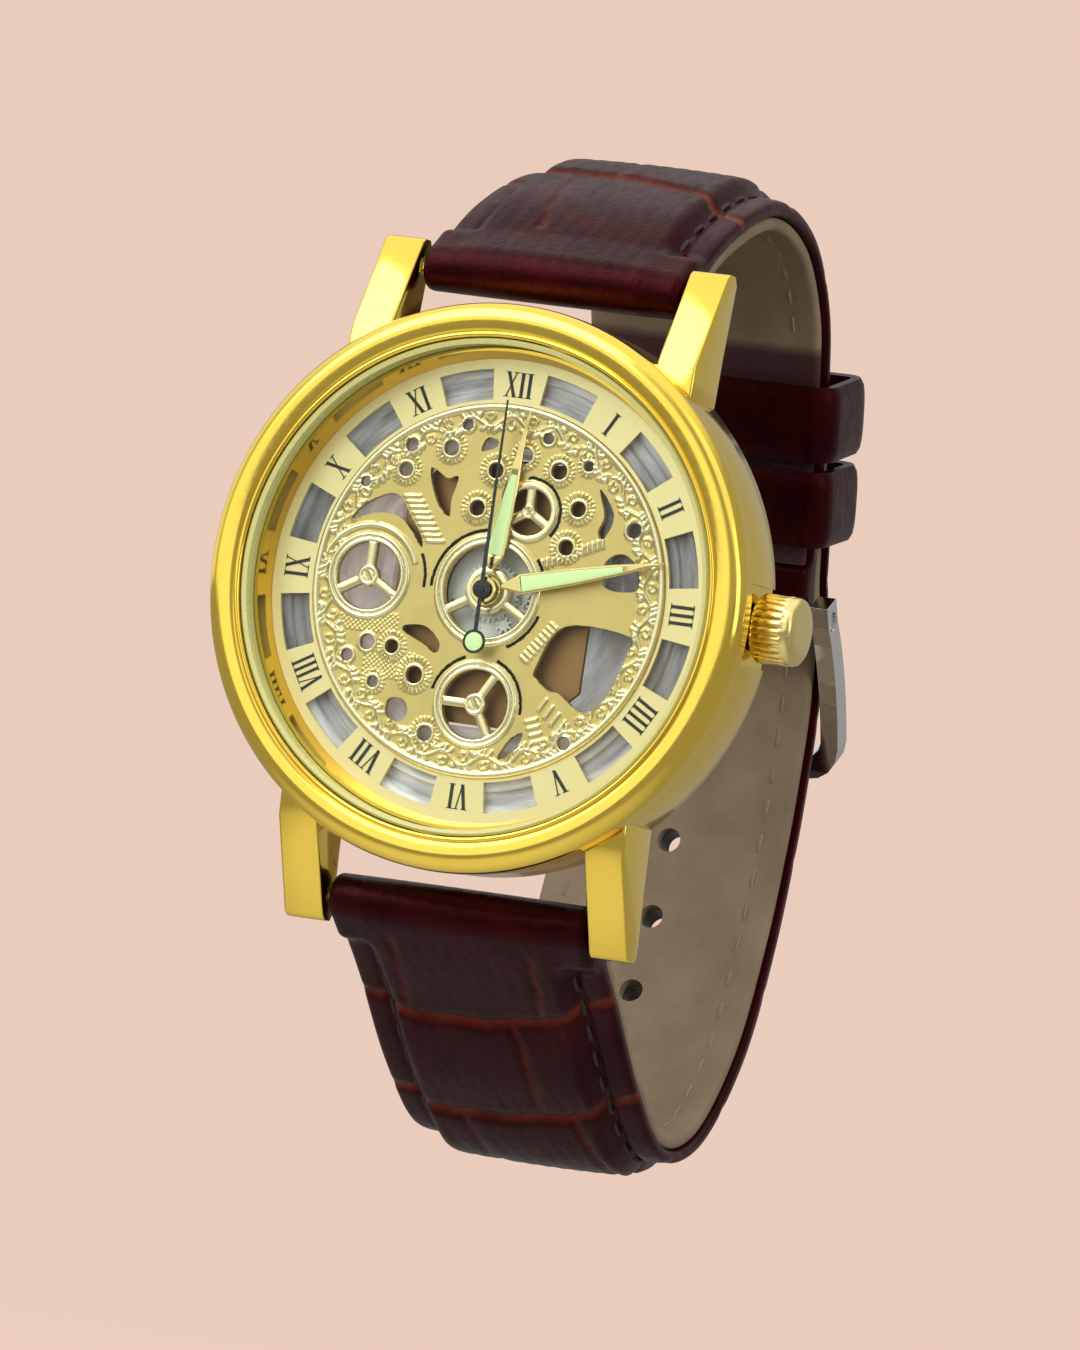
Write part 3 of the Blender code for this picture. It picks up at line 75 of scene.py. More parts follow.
TURNED_STEPS = 180

# Dial
DIAL_FRONT = -5.2
DIAL_BACK = -4.85
DIAL_RADIUS = 17.1
WINDOW_INNER = 13.6
WINDOW_OUTER = 15.8
WINDOW_HALF_ANGLE = 7.5
RELIEF_RADIUS = 13.35
RELIEF_LIFT = 0.12
RELIEF_STEP = 0.08
HEIGHT = {  # of each kind of ornament over the disc's ground
    "border": 0.15, "scroll": 0.13, "collar": 0.1, "rays": 0.11, "rim": 0.17, "web": 0.09,
    "spoke": 0.12, "hub": 0.17, "screw": 0.13, "slot": 0.02, "guard": 0.15, "ladder": 0.1,
    "bead": 0.08,
}
ARBOR_HOLE = 0.95
SPOKE_HALF = 0.32
SCROLL_COUNT = 48
BORDER_RADIUS = 12.1
BORDER_INNER = 11.2
BORDER_OUTER = 12.95
BORDER_RIDGE = 13.08
NUMERAL_RADIUS = 14.72
NUMERAL_HEIGHT = 1.8
NUMERAL_SQUEEZE = 0.92
NUMERAL_WIDEST = 2.55
SERIF = 0.07
HEAD = NUMERAL_HEIGHT - SERIF
LETTERS = {  # width; bars (x at the bottom, x at the top, width); serifs (x, width, levels)
    "I": (0.62, [(0.0, 0.0, 0.27)], [(0.0, 0.52, (0.0, HEAD))]),
    "V": (1.1, [(0.03, -0.33, 0.27), (0.03, 0.36, 0.1)],
          [(-0.33, 0.5, (HEAD,)), (0.36, 0.4, (HEAD,))]),
    "X": (1.15, [(0.33, -0.33, 0.27), (-0.36, 0.36, 0.1)],
          [(-0.34, 0.42, (0.0, HEAD)), (0.34, 0.42, (0.0, HEAD))]),
}
NUMERALS = ["XII", "I", "II", "III", "IIII", "V", "VI", "VII", "VIII", "IX", "X", "XI"]
WHEELS = [  # x, z, opening radius, rim radius, hub radius, angle of the first spoke
    (-9.15, 0.0, 2.4, 3.1, 0.75, 90.0),
    (0.3, -8.1, 2.45, 3.15, 0.8, 180.0),
    (2.2, 5.9, 1.65, 2.15, 0.5, 90.0),
    (0.0, 0.0, 3.3, 4.0, 1.7, 90.0),
]
SMALLEST_RAYS = 0.8
JEWEL_HOLES = [  # x, z, hole radius, radius of the rays round it
    (-3.3, 11.5, 0.42, 0.7), (-4.3, 9.7, 0.56, 1.2), (-7.3, 9.6, 0.49, 0.8),
    (-7.5, 7.8, 0.52, 1.2), (-10.4, 6.6, 0.38, 0.85), (-0.7, 8.5, 0.56, 1.25),
    (-1.7, 5.7, 0.56, 1.25), (2.9, 11.2, 0.42, 0.75), (1.35, 9.8, 0.56, 1.1),
    (4.05, 9.0, 0.6, 1.2), (6.2, 9.6, 0.38, 0.85), (5.9, 6.5, 0.56, 1.25),
    (5.4, 3.7, 0.56, 1.25), (10.3, 5.5, 0.56, 0.8), (-8.5, -4.7, 0.56, 0.75),
    (-9.9, -5.8, 0.45, 0.65), (-6.6, -4.8, 0.5, 1.15), (-4.6, -6.6, 0.62, 1.4),
    (-7.65, -7.45, 0.42, 0.95), (-3.15, -10.6, 0.56, 1.25), (7.4, -10.0, 0.49, 0.7),
]
CUT_OUTS = [  # corner points, and how far outside them the edge runs
    ([(-1.7, 10.7), (-0.9, 10.6), (-1.0, 10.2), (-2.0, 9.8)], 0.045),
    ([(-5.6, 8.1), (-4.3, 7.5), (-3.5, 7.7), (-3.8, 6.1), (-3.8, 4.9), (-4.9, 6.0)], 0.045),
    ([(-11.0, 3.9), (-10.2, 5.0), (-8.6, 5.9), (-7.6, 5.8), (-6.7, 4.6), (-5.7, 3.3),
      (-5.5, 2.5), (-6.5, 3.7), (-7.4, 4.4), (-8.7, 4.6), (-10.0, 4.3)], 0.036),
    ([(7.3, 8.1), (8.6, 6.4), (8.1, 4.7), (7.6, 5.1), (7.9, 6.3)], 0.024),
    ([(8.8, 1.3), (11.1, 1.4), (10.8, 3.0), (9.6, 3.7), (8.5, 2.9)], 0.075),
    ([(-5.8, -3.2), (-4.3, -3.1), (-3.1, -4.1), (-3.3, -4.8), (-4.2, -4.3), (-5.8, -3.6)], 0.045),
    ([(6.2, -1.9), (11.0, -2.0), (11.0, -3.3), (10.0, -6.3), (8.4, -7.6), (6.5, -6.5),
      (5.7, -6.4), (4.7, -5.7), (4.5, -5.0)], 0.09),
    ([(-6.2, -8.6), (-5.2, -8.5), (-4.8, -9.3), (-5.3, -9.9), (-6.2, -9.6)], 0.105),
    ([(3.3, -10.3), (4.2, -9.7), (3.7, -11.0), (2.6, -11.7)], 0.045),
]
LADDERS = [  # first and last middle, number of dashes, dash length, dash direction in degrees
    ((-6.7, 6.0), (-4.5, 3.0), 9, 1.15, 5.0),
    ((3.8, 2.3), (8.1, 4.3), 13, 0.55, 100.0),
    ((3.5, -4.5), (5.4, -1.9), 9, 0.6, -35.0),
    ((5.4, -7.5), (7.0, -8.9), 4, 0.95, 60.0),
    ((4.7, -8.7), (5.6, -10.6), 5, 0.8, 20.0),
]
BEAD_WAVE = 17.0
BEAD_FIELDS = [(-8.6, -3.2, 2.2, 0.75), (-6.6, -6.1, 2.0, 1.0)]  # x, z and half sizes
GUARD_RADIUS = 3.62
GAP_SHADOW_ARCS = [  # painted shadow of the thin gaps round the wheels: centre, radius, start and end angle in degrees
    ((0.0, 0.0), 4.3, 92.0, 182.0), ((0.0, 0.0), 4.3, 14.0, 38.0), ((0.0, 0.0), 4.3, -62.0, -18.0),
    ((2.2, 5.9), 2.4, -40.0, 100.0), ((0.3, -8.1), 3.45, -5.0, 70.0),
    ((0.3, -8.1), 3.45, 110.0, 168.0), ((-9.15, 0.0), 4.3, -5.0, 28.0),
]

# Hands: rest angles clockwise from 12 o'clock
MINUTE_ANGLE = 75.5
HOUR_ANGLE = MINUTE_ANGLE / 12
SECONDS_ANGLE = -0.5
HOUR_LEVELS = (-5.95, -5.75)
MINUTE_LEVELS = (-6.35, -6.15)
SECONDS_LEVELS = (-6.7, -6.55)
HOUR_BLADE = [(1.5, 0.18), (2.6, 0.76), (7.0, 0.55), (9.8, 0.26), (13.0, 0.05)]
MINUTE_BLADE = [(1.4, 0.15), (2.85, 0.72), (6.6, 0.62), (10.2, 0.4), (13.7, 0.05)]
HANDS = [  # name, blade, levels, angle, start and end of the lume, radii of the ring and its hole
    ("hour", HOUR_BLADE, HOUR_LEVELS, HOUR_ANGLE, (2.55, 8.4), (1.1, 0.8)),
    ("minute", MINUTE_BLADE, MINUTE_LEVELS, MINUTE_ANGLE, (2.9, 10.6), (0.95, 0.5)),
]
HAND_BORDER = 0.14
NEEDLE = [(13.5, 0.055), (2.0, 0.13), (0.0, 0.13)]  # distance along and half width
NEEDLE_TAIL_HALF = 0.14
COUNTERWEIGHT_DISTANCE = 3.75
COUNTERWEIGHT_RADIUS = 0.85
COUNTERWEIGHT_HOLE = 0.66
SECONDS_BOSS = 0.66

# Strap: the middle line of each half in the Y-Z plane
SHORT_WAYPOINTS = [(BAR_Y, BAR_Z), (6.4, 27.7), (15.8, 31.1), (24.0, 30.0), (29.7, 25.6),
                   (32.4, 20.0), (34.3, 12.5), (36.4, 3.2)]
LONG_WAYPOINTS = [(BAR_Y, -BAR_Z), (6.0, -27.4), (13.2, -33.2), (20.8, -37.3), (28.3, -36.0),
                  (34.6, -29.5), (38.0, -21.0), (39.6, -13.5), (40.2, -8.0), (40.3, -2.8)]
SHORT_THICKNESS = (3.4, 2.8)
LONG_THICKNESS = (3.4, 2.1)
TAIL_LIFT = 2.6
TAIL_CONTACTS = (3.0, 8.0, 13.0, 18.0)
STRAP_HALF_LUG = 10.0
STRAP_HALF_END = 9.0
TIP_LENGTH = 7.0
LINING_THICKNESS = 1.0
FOLD_LENGTH = 4.0
HOLE_COUNT = 6
HOLE_PITCH = 6.1
HOLE_SHIFT = 0.8
HOLE_RADIUS = 0.9
USED_HOLE_HALF = 2.0
USED_HOLE_RADIUS = 1.05
USED_HOLE_RISE = 1.3
TONGUE_SLOT_HALF = 1.15
TONGUE_SLOT_TOP = 3.6
SCALE_PITCH = 10.3
SHORT_FIRST_GROOVE = 13.3
LONG_FIRST_GROOVE = 9.6
SHORT_CREASES = [(-3.0,), (-1.5,), (3.0,), (-4.0, 4.5), (1.0,)]  # x of the lines along each scale
LONG_CREASES = [(-5.6, 5.0), (2.5,), (-3.5, 5.5), (0.5,), (4.0,), (-2.5,), (3.0,)]
PADDING_START = 2.2
PADDING_FADE = 20.0
BORDER_WIDTH = 3.4
BORDER_DROP = 1.0
STITCH_GROOVE = 0.3
STRAP_CROWN = 0.35
SCALE_CROWN = 0.18
EMBOSS_DEPTH = 0.36
EMBOSS_LOSS_AT_BORDER = 0.16
RIPPLES = 0.02
STITCH_RADIUS = 0.18
STITCH_START = 5.6
SHORT_STITCH_GAP = 5.0
TAIL_STITCH_GAP = 8.0
LINING_TIP_GAP = 0.6
STITCH_INSET = 2.3
STITCH_PITCH = 2.7
STITCH_LENGTH = 2.0
KEEPER_LENGTH = 5.6
KEEPER_WALL = 1.2
KEEPER_CLEARANCE = 0.3
KEEPER_CORNER = 1.25
FREE_KEEPER_Z = 17.6
FIXED_KEEPER_Z = 11.4
# Height where the short half's lining starts its painted shade: dark maroon from here through the
# keepers to the buckle end.
SHORT_DARK_LINING_Z = 23.0
NEVER = 1e6  # a distance that no strap reaches

# Looks that several materials share
GLASS_IOR = 1.45
GLASS_ROUGHNESS = 0.03
MAROON_SHEEN = (1.0, 0.20, 0.26, 1.0)

# Camera and stage
CAMERA_AZIMUTH = 21.2
CAMERA_ELEVATION = -2.5
CAMERA_ROLL = 8.5
CAMERA_DISTANCE = 900.0
CAMERA_LENS = 339.5
CAMERA_SHIFT = (-3.65, 5.95)
PEACH = (0.825, 0.604, 0.503)
FLOOR_LEVEL = -62.0
AMBIENT = 0.42
FLOOR_GLOW = (-15.0, -45.0, FLOOR_LEVEL)
STUDIO_CARDS = [  # where it stands, angles of its full part and its edge, brightness it adds
    ((-0.2, 0.0, 1.0), 30.0, 62.0, 0.75),
    ((-0.5, -0.87, 0.1), 22.0, 50.0, 0.8),
    ((-1.0, 0.3, 0.1), 10.0, 35.0, 0.5),
    ((0.95, -0.3, 0.12), 6.0, 15.0, 1.9),
    ((0.7, -0.5, 0.65), 10.0, 26.0, 0.7),
    ((-0.35, -0.6, -0.7), 14.0, 38.0, 0.35),
    ((0.75, -0.65, -0.1), 5.0, 16.0, -0.15),
    ((0.8, 0.3, -0.5), 20.0, 45.0, -0.15),
    ((0.9, -0.45, -0.25), 8.0, 22.0, 0.45),
    ((0.85, -0.4, 0.3), 5.0, 13.0, 1.2),
]


# ---------------------------------------------------------------- mesh helpers

def joined(*shapes):
    """Several (points, faces) shapes as one."""
    points, faces = [], []
    for shape_points, shape_faces in shapes:
        start = len(points)
        points += [tuple(p) for p in shape_points]
        faces += [tuple(n + start for n in face) for face in shape_faces]
    return points, faces


def grid_shape(rows, wrap_rows=False, wrap_columns=False):
    """A rectangular array of points as a shape of quads."""
    count, width = rows.shape[:2]
    r = np.arange(count if wrap_rows else count - 1)
    c = np.arange(width if wrap_columns else width - 1)
    r, c = np.meshgrid(r, c, indexing="ij")
    after_r, after_c = (r + 1) % count, (c + 1) % width
    quads = np.stack([r * width + c, r * width + after_c, after_r * width + after_c,
                      after_r * width + c], axis=-1)
    return rows.reshape(-1, 3), quads.reshape(-1, 4).tolist()


def capped_tube(rows):
    """Rings of points joined one after another, closed at both ends."""
    points, faces = grid_shape(rows, wrap_columns=True)
    size = rows.shape[1]
    last = len(points) - size
    return points, faces + [tuple(range(size)), tuple(range(last, last + size))]


def turned(profile, centre=(0.0, 0.0, 0.0), along_x=False, steps=TURNED_STEPS, closed=True):
    """A profile of (radius, level) points spun round Y, or round X."""
    angle = np.linspace(0, 2 * math.pi, steps, endpoint=False)
    profile = np.array(profile, float)
    radius, level = profile[:, :1], profile[:, 1:] + 0 * angle
    a, b = radius * np.cos(angle), radius * np.sin(angle)
    rows = np.stack([level, a, b] if along_x else [a, level, b], axis=-1) + np.array(centre)
    return grid_shape(rows, wrap_rows=closed, wrap_columns=True)


def arc(centre, radius, start, end, steps):
    angles = np.radians(np.linspace(start, end, steps + 1))
    return [(centre[0] + radius * math.cos(a), centre[1] + radius * math.sin(a)) for a in angles]


def circle(radius):
    return arc((0, 0), radius, 0, 360, TURNED_STEPS)[:-1]


def prism(outline, holes, low, high, place):
    """An outline with holes, given thickness."""
    loops = [list(outline)] + [list(hole) for hole in holes]
    flat = [point for loop in loops for point in loop]
    triangles = tessellate_polygon([[Vector((a, b, 0.0)) for a, b in loop] for loop in loops])
    count = len(flat)
    points = [place(a, b, low) for a, b in flat] + [place(a, b, high) for a, b in flat]
    faces = [tuple(t) for t in triangles] + [tuple(n + count for n in t) for t in triangles]
    first = 0
    for loop in loops:
        size = len(loop)
        for n in range(size):
            here, after = first + n, first + (n + 1) % size
            faces.append((here, after, after + count, here + count))
        first += size
    return points, faces


def facing_y(across, up, depth):
    return (across, depth, up)


def facing_x(along_y, up, depth):
    return (depth, along_y, up)


def turned_clockwise(points, degrees):
    c, s = math.cos(math.radians(degrees)), math.sin(math.radians(degrees))
    return [(a * c + b * s, b * c - a * s) for a, b in points]


def added(name, data):
    """A new object in the scene."""
    item = bpy.data.objects.new(name, data)
    bpy.context.scene.collection.objects.link(item)
    return item


def mesh_of(name, shape, values=None, weld=0.0):
    """A mesh with its faces turned outwards; points closer than weld become one."""
    points, faces = shape
    mesh = bpy.data.meshes.new(name)
    mesh.from_pydata((np.array(points, float) * MM).tolist(), [], faces)
    for label, numbers in (values or {}).items():
        layer = mesh.attributes.new(label, "FLOAT", "POINT")
        layer.data.foreach_set("value", np.asarray(numbers, np.float32).ravel())
    bm = bmesh.new()
    bm.from_mesh(mesh)
    if weld:
        bmesh.ops.remove_doubles(bm, verts=bm.verts, dist=weld * MM)
    bmesh.ops.recalc_face_normals(bm, faces=bm.faces)
    bm.to_mesh(mesh)
    bm.free()
    return mesh


def add_bevel(item, width):
    modifier = item.modifiers.new("edges", "BEVEL")
    modifier.width = width * MM
    modifier.segments = 3
    modifier.limit_method = "ANGLE"
    modifier.angle_limit = math.radians(BEVEL_ANGLE)


def shade(item, sharp):
    """Smooth faces, with edges kept sharp where they turn by more than an angle."""
    item.data.shade_smooth()
    item.data.set_sharp_from_angle(angle=math.radians(sharp))


def piece(name, shape, material, body, replaces=(), sharp=40.0, values=None, bevel=0.0):
    """A mesh that rides on a CAD body. values are numbers kept at its points for the material."""
    mesh = mesh_of(name, shape, values, WELD_DISTANCE)
    mesh.materials.append(material)
    item = added(name, mesh)
    if bevel:
        add_bevel(item, bevel)
        settle(item)
    shade(item, sharp)
    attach(item, body)
    if replaces:
        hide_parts(*replaces)
    return item


def settle(item):
    """Keeps what the modifiers give as the object's own mesh."""
    bpy.context.view_layer.update()
    evaluated = item.evaluated_get(bpy.context.evaluated_depsgraph_get())
    mesh = bpy.data.meshes.new_from_object(evaluated)
    item.modifiers.clear()
    item.data = mesh


def cut(item, *shapes):
    """Cuts closed shapes out of a piece."""
    for shape in shapes:
        tool = added("cutter", mesh_of("cutter", shape))
        modifier = item.modifiers.new("cut", "BOOLEAN")
        modifier.operation = "DIFFERENCE"
        modifier.solver = "EXACT"
        modifier.object = tool
        settle(item)
        bpy.data.objects.remove(tool, do_unlink=True)


# ---------------------------------------------------------------- materials

def connect(tree, value, socket):
    """Links a node's output to an input, or fills the input in with a plain value."""
    if isinstance(value, bpy.types.NodeSocket):
        tree.links.new(value, socket)
    else:
        socket.default_value = value


def add_node(tree, kind, inputs=None, output=0, **settings):
    """A shader node with its inputs filled in. Gives one of its outputs."""
    item = tree.nodes.new(kind)
    for key, value in settings.items():
        setattr(item, key, value)
    for key, value in (inputs or {}).items():
        connect(tree, value, item.inputs[key])
    return item.outputs[output]


class Recipe:
    """A node material that starts from one Principled shader."""

    def __init__(self, name, colour, roughness, metallic=0.0):
        self.material = bpy.data.materials.new(name)
        self.material.use_nodes = True
        self.material.diffuse_color = (*colour, 1.0)
        self.tree = self.material.node_tree
        self.shader = self.tree.nodes["Principled BSDF"]
        self.put("Base Color", (*colour, 1.0))
        self.put("Roughness", roughness)
        self.put("Metallic", metallic)

    def put(self, socket, value):
        connect(self.tree, value, self.shader.inputs[socket])

    def finish_with(self, surface):
        """Makes another shader than the Principled one the material's surface."""
        connect(self.tree, surface, self.tree.nodes["Material Output"].inputs["Surface"])

    def node(self, kind, inputs=None, output=0, **settings):
        return add_node(self.tree, kind, inputs, output, **settings)

    def mixed(self, share, first, second):
        """Shader that goes from first to second as share goes from 0 to 1."""
        return self.node("ShaderNodeMixShader", {0: share, 1: first, 2: second})

    def place(self, stretch=(1.0, 1.0, 1.0)):
        """Millimetre coordinates on the object, stretched to run texture along one way."""
        position = self.node("ShaderNodeTexCoord", output="Object")
        scale = tuple(value / MM for value in stretch)
        return self.node("ShaderNodeMapping", {"Vector": position, "Scale": scale})

    def noise(self, size, detail=3.0, stretch=(1.0, 1.0, 1.0), roughness=0.5):
        """Noise between 0 and 1 whose blobs are about size millimetres wide."""
        return self.node("ShaderNodeTexNoise",
                         {"Vector": self.place(stretch), "Scale": 1.0 / size, "Detail": detail,
                          "Roughness": roughness})

    def stored(self, label):
        return self.node("ShaderNodeAttribute", output="Fac", attribute_name=label)

    def sum_of(self, a, b, operation="ADD"):
        return self.node("ShaderNodeMath", {0: a, 1: b}, operation=operation)

    def mapped(self, value, low, high, new_low, new_high):
        return self.node("ShaderNodeMapRange", {"Value": value, "From Min": low, "From Max": high,
                                                "To Min": new_low, "To Max": new_high})

    def blended(self, share, first, second):
        """Colour that goes from first to second as share goes from 0 to 1."""
        mix = self.tree.nodes.new("ShaderNodeMix")
        mix.data_type = "RGBA"
        for index, value in ((6, first), (7, second)):
            if not isinstance(value, bpy.types.NodeSocket):
                value = (*value, 1.0)
            connect(self.tree, value, mix.inputs[index])
        connect(self.tree, share, mix.inputs[0])
        return mix.outputs[2]

    def glassy(self, tint, roughness, mirror_share):
        """Open to what lies behind, with a weak mirror that grows towards grazing sight."""
        clear = self.node("ShaderNodeBsdfTransparent", {"Color": (*tint, 1.0)})
        gloss = self.node("ShaderNodeBsdfGlossy", {"Roughness": roughness})
        fresnel = self.node("ShaderNodeFresnel", {"IOR": GLASS_IOR})
        return self.mixed(self.sum_of(fresnel, mirror_share, "MULTIPLY"), clear, gloss)

    def bump(self, height, strength, distance):
        normal = self.node("ShaderNodeBump", {"Height": height, "Strength": strength,
                                              "Distance": distance * MM})
        self.put("Normal", normal)


def polished_gold():
    r = Recipe("polished_gold", (0.93, 0.68, 0.10), 0.1, 1.0)
    cloud = r.noise(6.0, 4.0)
    r.put("Base Color", r.blended(cloud, (0.91, 0.65, 0.08), (0.96, 0.72, 0.13)))
    scratches = r.noise(0.5, 6.0, (1.0, 6.0, 1.0))
    r.put("Roughness", r.mapped(scratches, 0.3, 0.75, 0.08, 0.17))
    r.bump(r.noise(2.5, 2.0), 0.08, 0.03)
    return r.material


def dial_gold(name, light, dark, roughness, grain):
    r = Recipe(name, light, roughness, 0.85)
    cloud = r.noise(4.0, 3.0)
    r.put("Base Color", r.blended(cloud, dark, light))
    fine = r.noise(grain, 3.0)
    r.put("Roughness", r.mapped(fine, 0.3, 0.7, roughness - 0.06, roughness + 0.1))
    r.bump(fine, 0.25, 0.02)
    return r.material


def relief_gold():
    """Stamped gold: matt sandblasted ground, shiny raised parts turned paler with height as a painted
    highlight, black painted shadow in the thin gaps round the wheels.
    """
    r = Recipe("relief_gold", (0.78, 0.58, 0.2), 0.4, 0.9)
    height = r.mapped(r.stored("height"), 0.0, 0.16, 0.0, 1.0)
    ground = r.blended(r.noise(1.5, 4.0), (0.62, 0.47, 0.15), (0.76, 0.60, 0.23))
    # Painted highlight: the colour turns paler the higher the relief stands, so raised parts look lit
    # and the ground looks shaded.
    colour = r.blended(height, ground, (1.0, 0.91, 0.56))
    # Painted shadow: black where the thin gaps round the wheels lie in shade.
    black = r.mapped(r.stored("gap_shadow"), 0.35, 0.65, 0.0, 1.0)
    r.put("Base Color", r.blended(black, colour, (0.012, 0.011, 0.01)))
    grain = r.noise(0.07, 2.0)
    r.put("Roughness", r.mapped(height, 0.0, 1.0, 0.36, 0.16))
    r.bump(grain, 0.3, 0.02)
    return r.material


def enamel(name, colour, roughness, grain=0.3):
    r = Recipe(name, colour, roughness)
    fine = r.noise(grain, 3.0)
    lighter = tuple(min(1.0, value * 1.18 + 0.004) for value in colour)
    r.put("Base Color", r.blended(fine, colour, lighter))
    r.put("Roughness", r.mapped(fine, 0.3, 0.7, roughness * 0.85, roughness * 1.2))
    r.bump(fine, 0.1, 0.01)
    return r.material


def lume():
    r = Recipe("lume", (0.62, 0.83, 0.36), 0.6)
    powder = r.noise(0.12, 3.0)
    colour = r.blended(powder, (0.58, 0.80, 0.32), (0.70, 0.88, 0.44))
    r.put("Base Color", colour)
    r.put("Emission Color", colour)
    r.put("Emission Strength", 0.12)
    r.bump(powder, 0.3, 0.02)
    return r.material


def metal(name, colour, roughness, stretch=(1.0, 1.0, 1.0), grain=0.25):
    r = Recipe(name, colour, roughness, 1.0)
    lines = r.noise(grain, 5.0, stretch)
    darker = tuple(value * 0.82 for value in colour)
    r.put("Base Color", r.blended(lines, darker, colour))
    r.put("Roughness", r.mapped(lines, 0.3, 0.75, roughness * 0.75, roughness * 1.35))
    r.bump(lines, 0.12, 0.01)
    return r.material


def see_through(name, tint):
    """Clear glass that lamps shine through."""
    r = Recipe(name, tint, GLASS_ROUGHNESS)
    surface = r.glassy(tint, GLASS_ROUGHNESS, 0.22)
    in_shadow = r.node("ShaderNodeLightPath", output="Is Shadow Ray")
    open_air = r.node("ShaderNodeBsdfTransparent", {"Color": (*tint, 1.0)})
    r.finish_with(r.mixed(in_shadow, surface, open_air))
    return r.material


def ring_plastic():
    """Clear plastic with milky streaks round the ring; clearer and darker near 3 and 9 o'clock,
    milkier and lighter near 12 and 6 o'clock as painted light and shade.
    """
    r = Recipe("clear_plastic", (0.62, 0.60, 0.62), 0.22)
    flat = r.place((1.0, 0.0, 1.0))
    radius = r.node("ShaderNodeVectorMath", {0: flat}, output="Value", operation="LENGTH")
    across = r.node("ShaderNodeSeparateXYZ", {0: flat}, output="X")
    height = r.node("ShaderNodeSeparateXYZ", {0: flat}, output="Z")
    turn = r.sum_of(height, across, "ARCTAN2")
    round_ring = r.node("ShaderNodeCombineXYZ", {0: r.sum_of(turn, 2.5, "MULTIPLY"), 1: radius})
    noise = r.node("ShaderNodeTexNoise", {"Vector": round_ring, "Scale": 1.1, "Detail": 3.0})
    streaks = r.mapped(noise, 0.36, 0.62, 0.4, 1.0)
    # Painted light and shade: the ring is lighter and milkier near 12 and 6 o'clock, darker and
    # clearer near 3 and 9.
    painted_light_round_ring = r.mapped(r.sum_of(height, height, "MULTIPLY"), 30.0, 170.0, 0.45, 0.97)
    haze = r.sum_of(painted_light_round_ring, streaks, "MULTIPLY")
    r.put("Base Color", r.blended(painted_light_round_ring, (0.40, 0.37, 0.39), (0.92, 0.91, 0.95)))
    surface = r.glassy((0.90, 0.90, 0.92), 0.12, 0.6)
    r.bump(noise, 0.2, 0.1)
    r.finish_with(r.mixed(haze, surface, r.shader.outputs["BSDF"]))
    return r.material


def movement_plate():
    """Copper-toned plate with a white plastic disc round the middle arbor."""
    r = Recipe("movement_plate", (0.34, 0.18, 0.06), 0.4, 0.8)
    centre = r.node("ShaderNodeVectorMath",
                    {0: r.place((1.0, 0.0, 1.0))}, output="Value", operation="LENGTH")
    white = r.mapped(centre, 3.45, 3.5, 1.0, 0.0)
    brown = r.blended(r.noise(2.0, 4.0), (0.24, 0.12, 0.04), (0.36, 0.20, 0.07))
    r.put("Base Color", r.blended(white, brown, (0.80, 0.82, 0.80)))
    r.put("Metallic", r.mapped(white, 0.0, 1.0, 0.65, 0.0))
    r.bump(r.noise(0.2, 4.0), 0.12, 0.02)
    return r.material


def leather(name, dark, light, groove_colour, gloss):
    """Embossed leather: groove says where the emboss is deep."""
    r = Recipe(name, dark, 0.4)
    cloud = r.noise(3.5, 5.0)
    base = r.blended(r.mapped(cloud, 0.35, 0.7, 0.0, 1.0), dark, light)
    groove = r.mapped(r.stored("groove"), 0.1, 0.75, 0.0, 1.0)
    patchy = r.sum_of(groove, r.mapped(r.noise(2.0, 4.0), 0.3, 0.6, 0.35, 1.0), "MULTIPLY")
    r.put("Base Color", r.blended(patchy, base, groove_colour))
    cells = r.node("ShaderNodeTexVoronoi",
                   {"Vector": r.place(), "Scale": 2.6, "Randomness": 1.0}, output="Distance")
    wrinkles = r.noise(0.6, 5.0, (1.0, 0.4, 0.4), 0.6)
    pores = r.noise(0.15, 2.0)
    height = r.sum_of(r.sum_of(cells, 0.5, "MULTIPLY"), r.sum_of(wrinkles, 0.9, "MULTIPLY"))
    height = r.sum_of(height, r.sum_of(pores, 0.2, "MULTIPLY"))
    r.bump(height, 0.35, 0.09)
    r.put("Roughness", r.mapped(wrinkles, 0.3, 0.7, gloss, gloss + 0.18))
    r.put("Specular IOR Level", 0.18)
    r.put("Specular Tint", MAROON_SHEEN)
    return r.material


def lining_leather():
    r = Recipe("taupe_lining", (0.21, 0.15, 0.09), 0.7)
    cloud = r.mapped(r.noise(5.0, 5.0), 0.3, 0.7, 0.0, 1.0)
    colour = r.blended(cloud, (0.15, 0.105, 0.062), (0.22, 0.16, 0.10))
    # Painted shade: from dark_from on, the lining turns dark maroon through the keepers towards the
    # buckle end.
    lining_with_painted_shade = r.blended(r.stored("dark"), colour, (0.04, 0.008, 0.010))
    r.put("Base Color", lining_with_painted_shade)
    grain = r.noise(0.25, 5.0)
    r.put("Roughness", r.mapped(grain, 0.3, 0.7, 0.6, 0.85))
    r.bump(grain, 0.4, 0.05)
    return r.material


def thread(name, colour):
    r = Recipe(name, colour, 0.7)
    twist = r.node("ShaderNodeTexWave", {"Vector": r.place((1.0, 1.0, 1.0)), "Scale": 1.6,
                                         "Distortion": 1.5})
    lighter = tuple(value * 1.7 + 0.01 for value in colour)
    r.put("Base Color", r.blended(twist, colour, lighter))
    r.bump(twist, 0.6, 0.05)
    return r.material


# ---------------------------------------------------------------- case

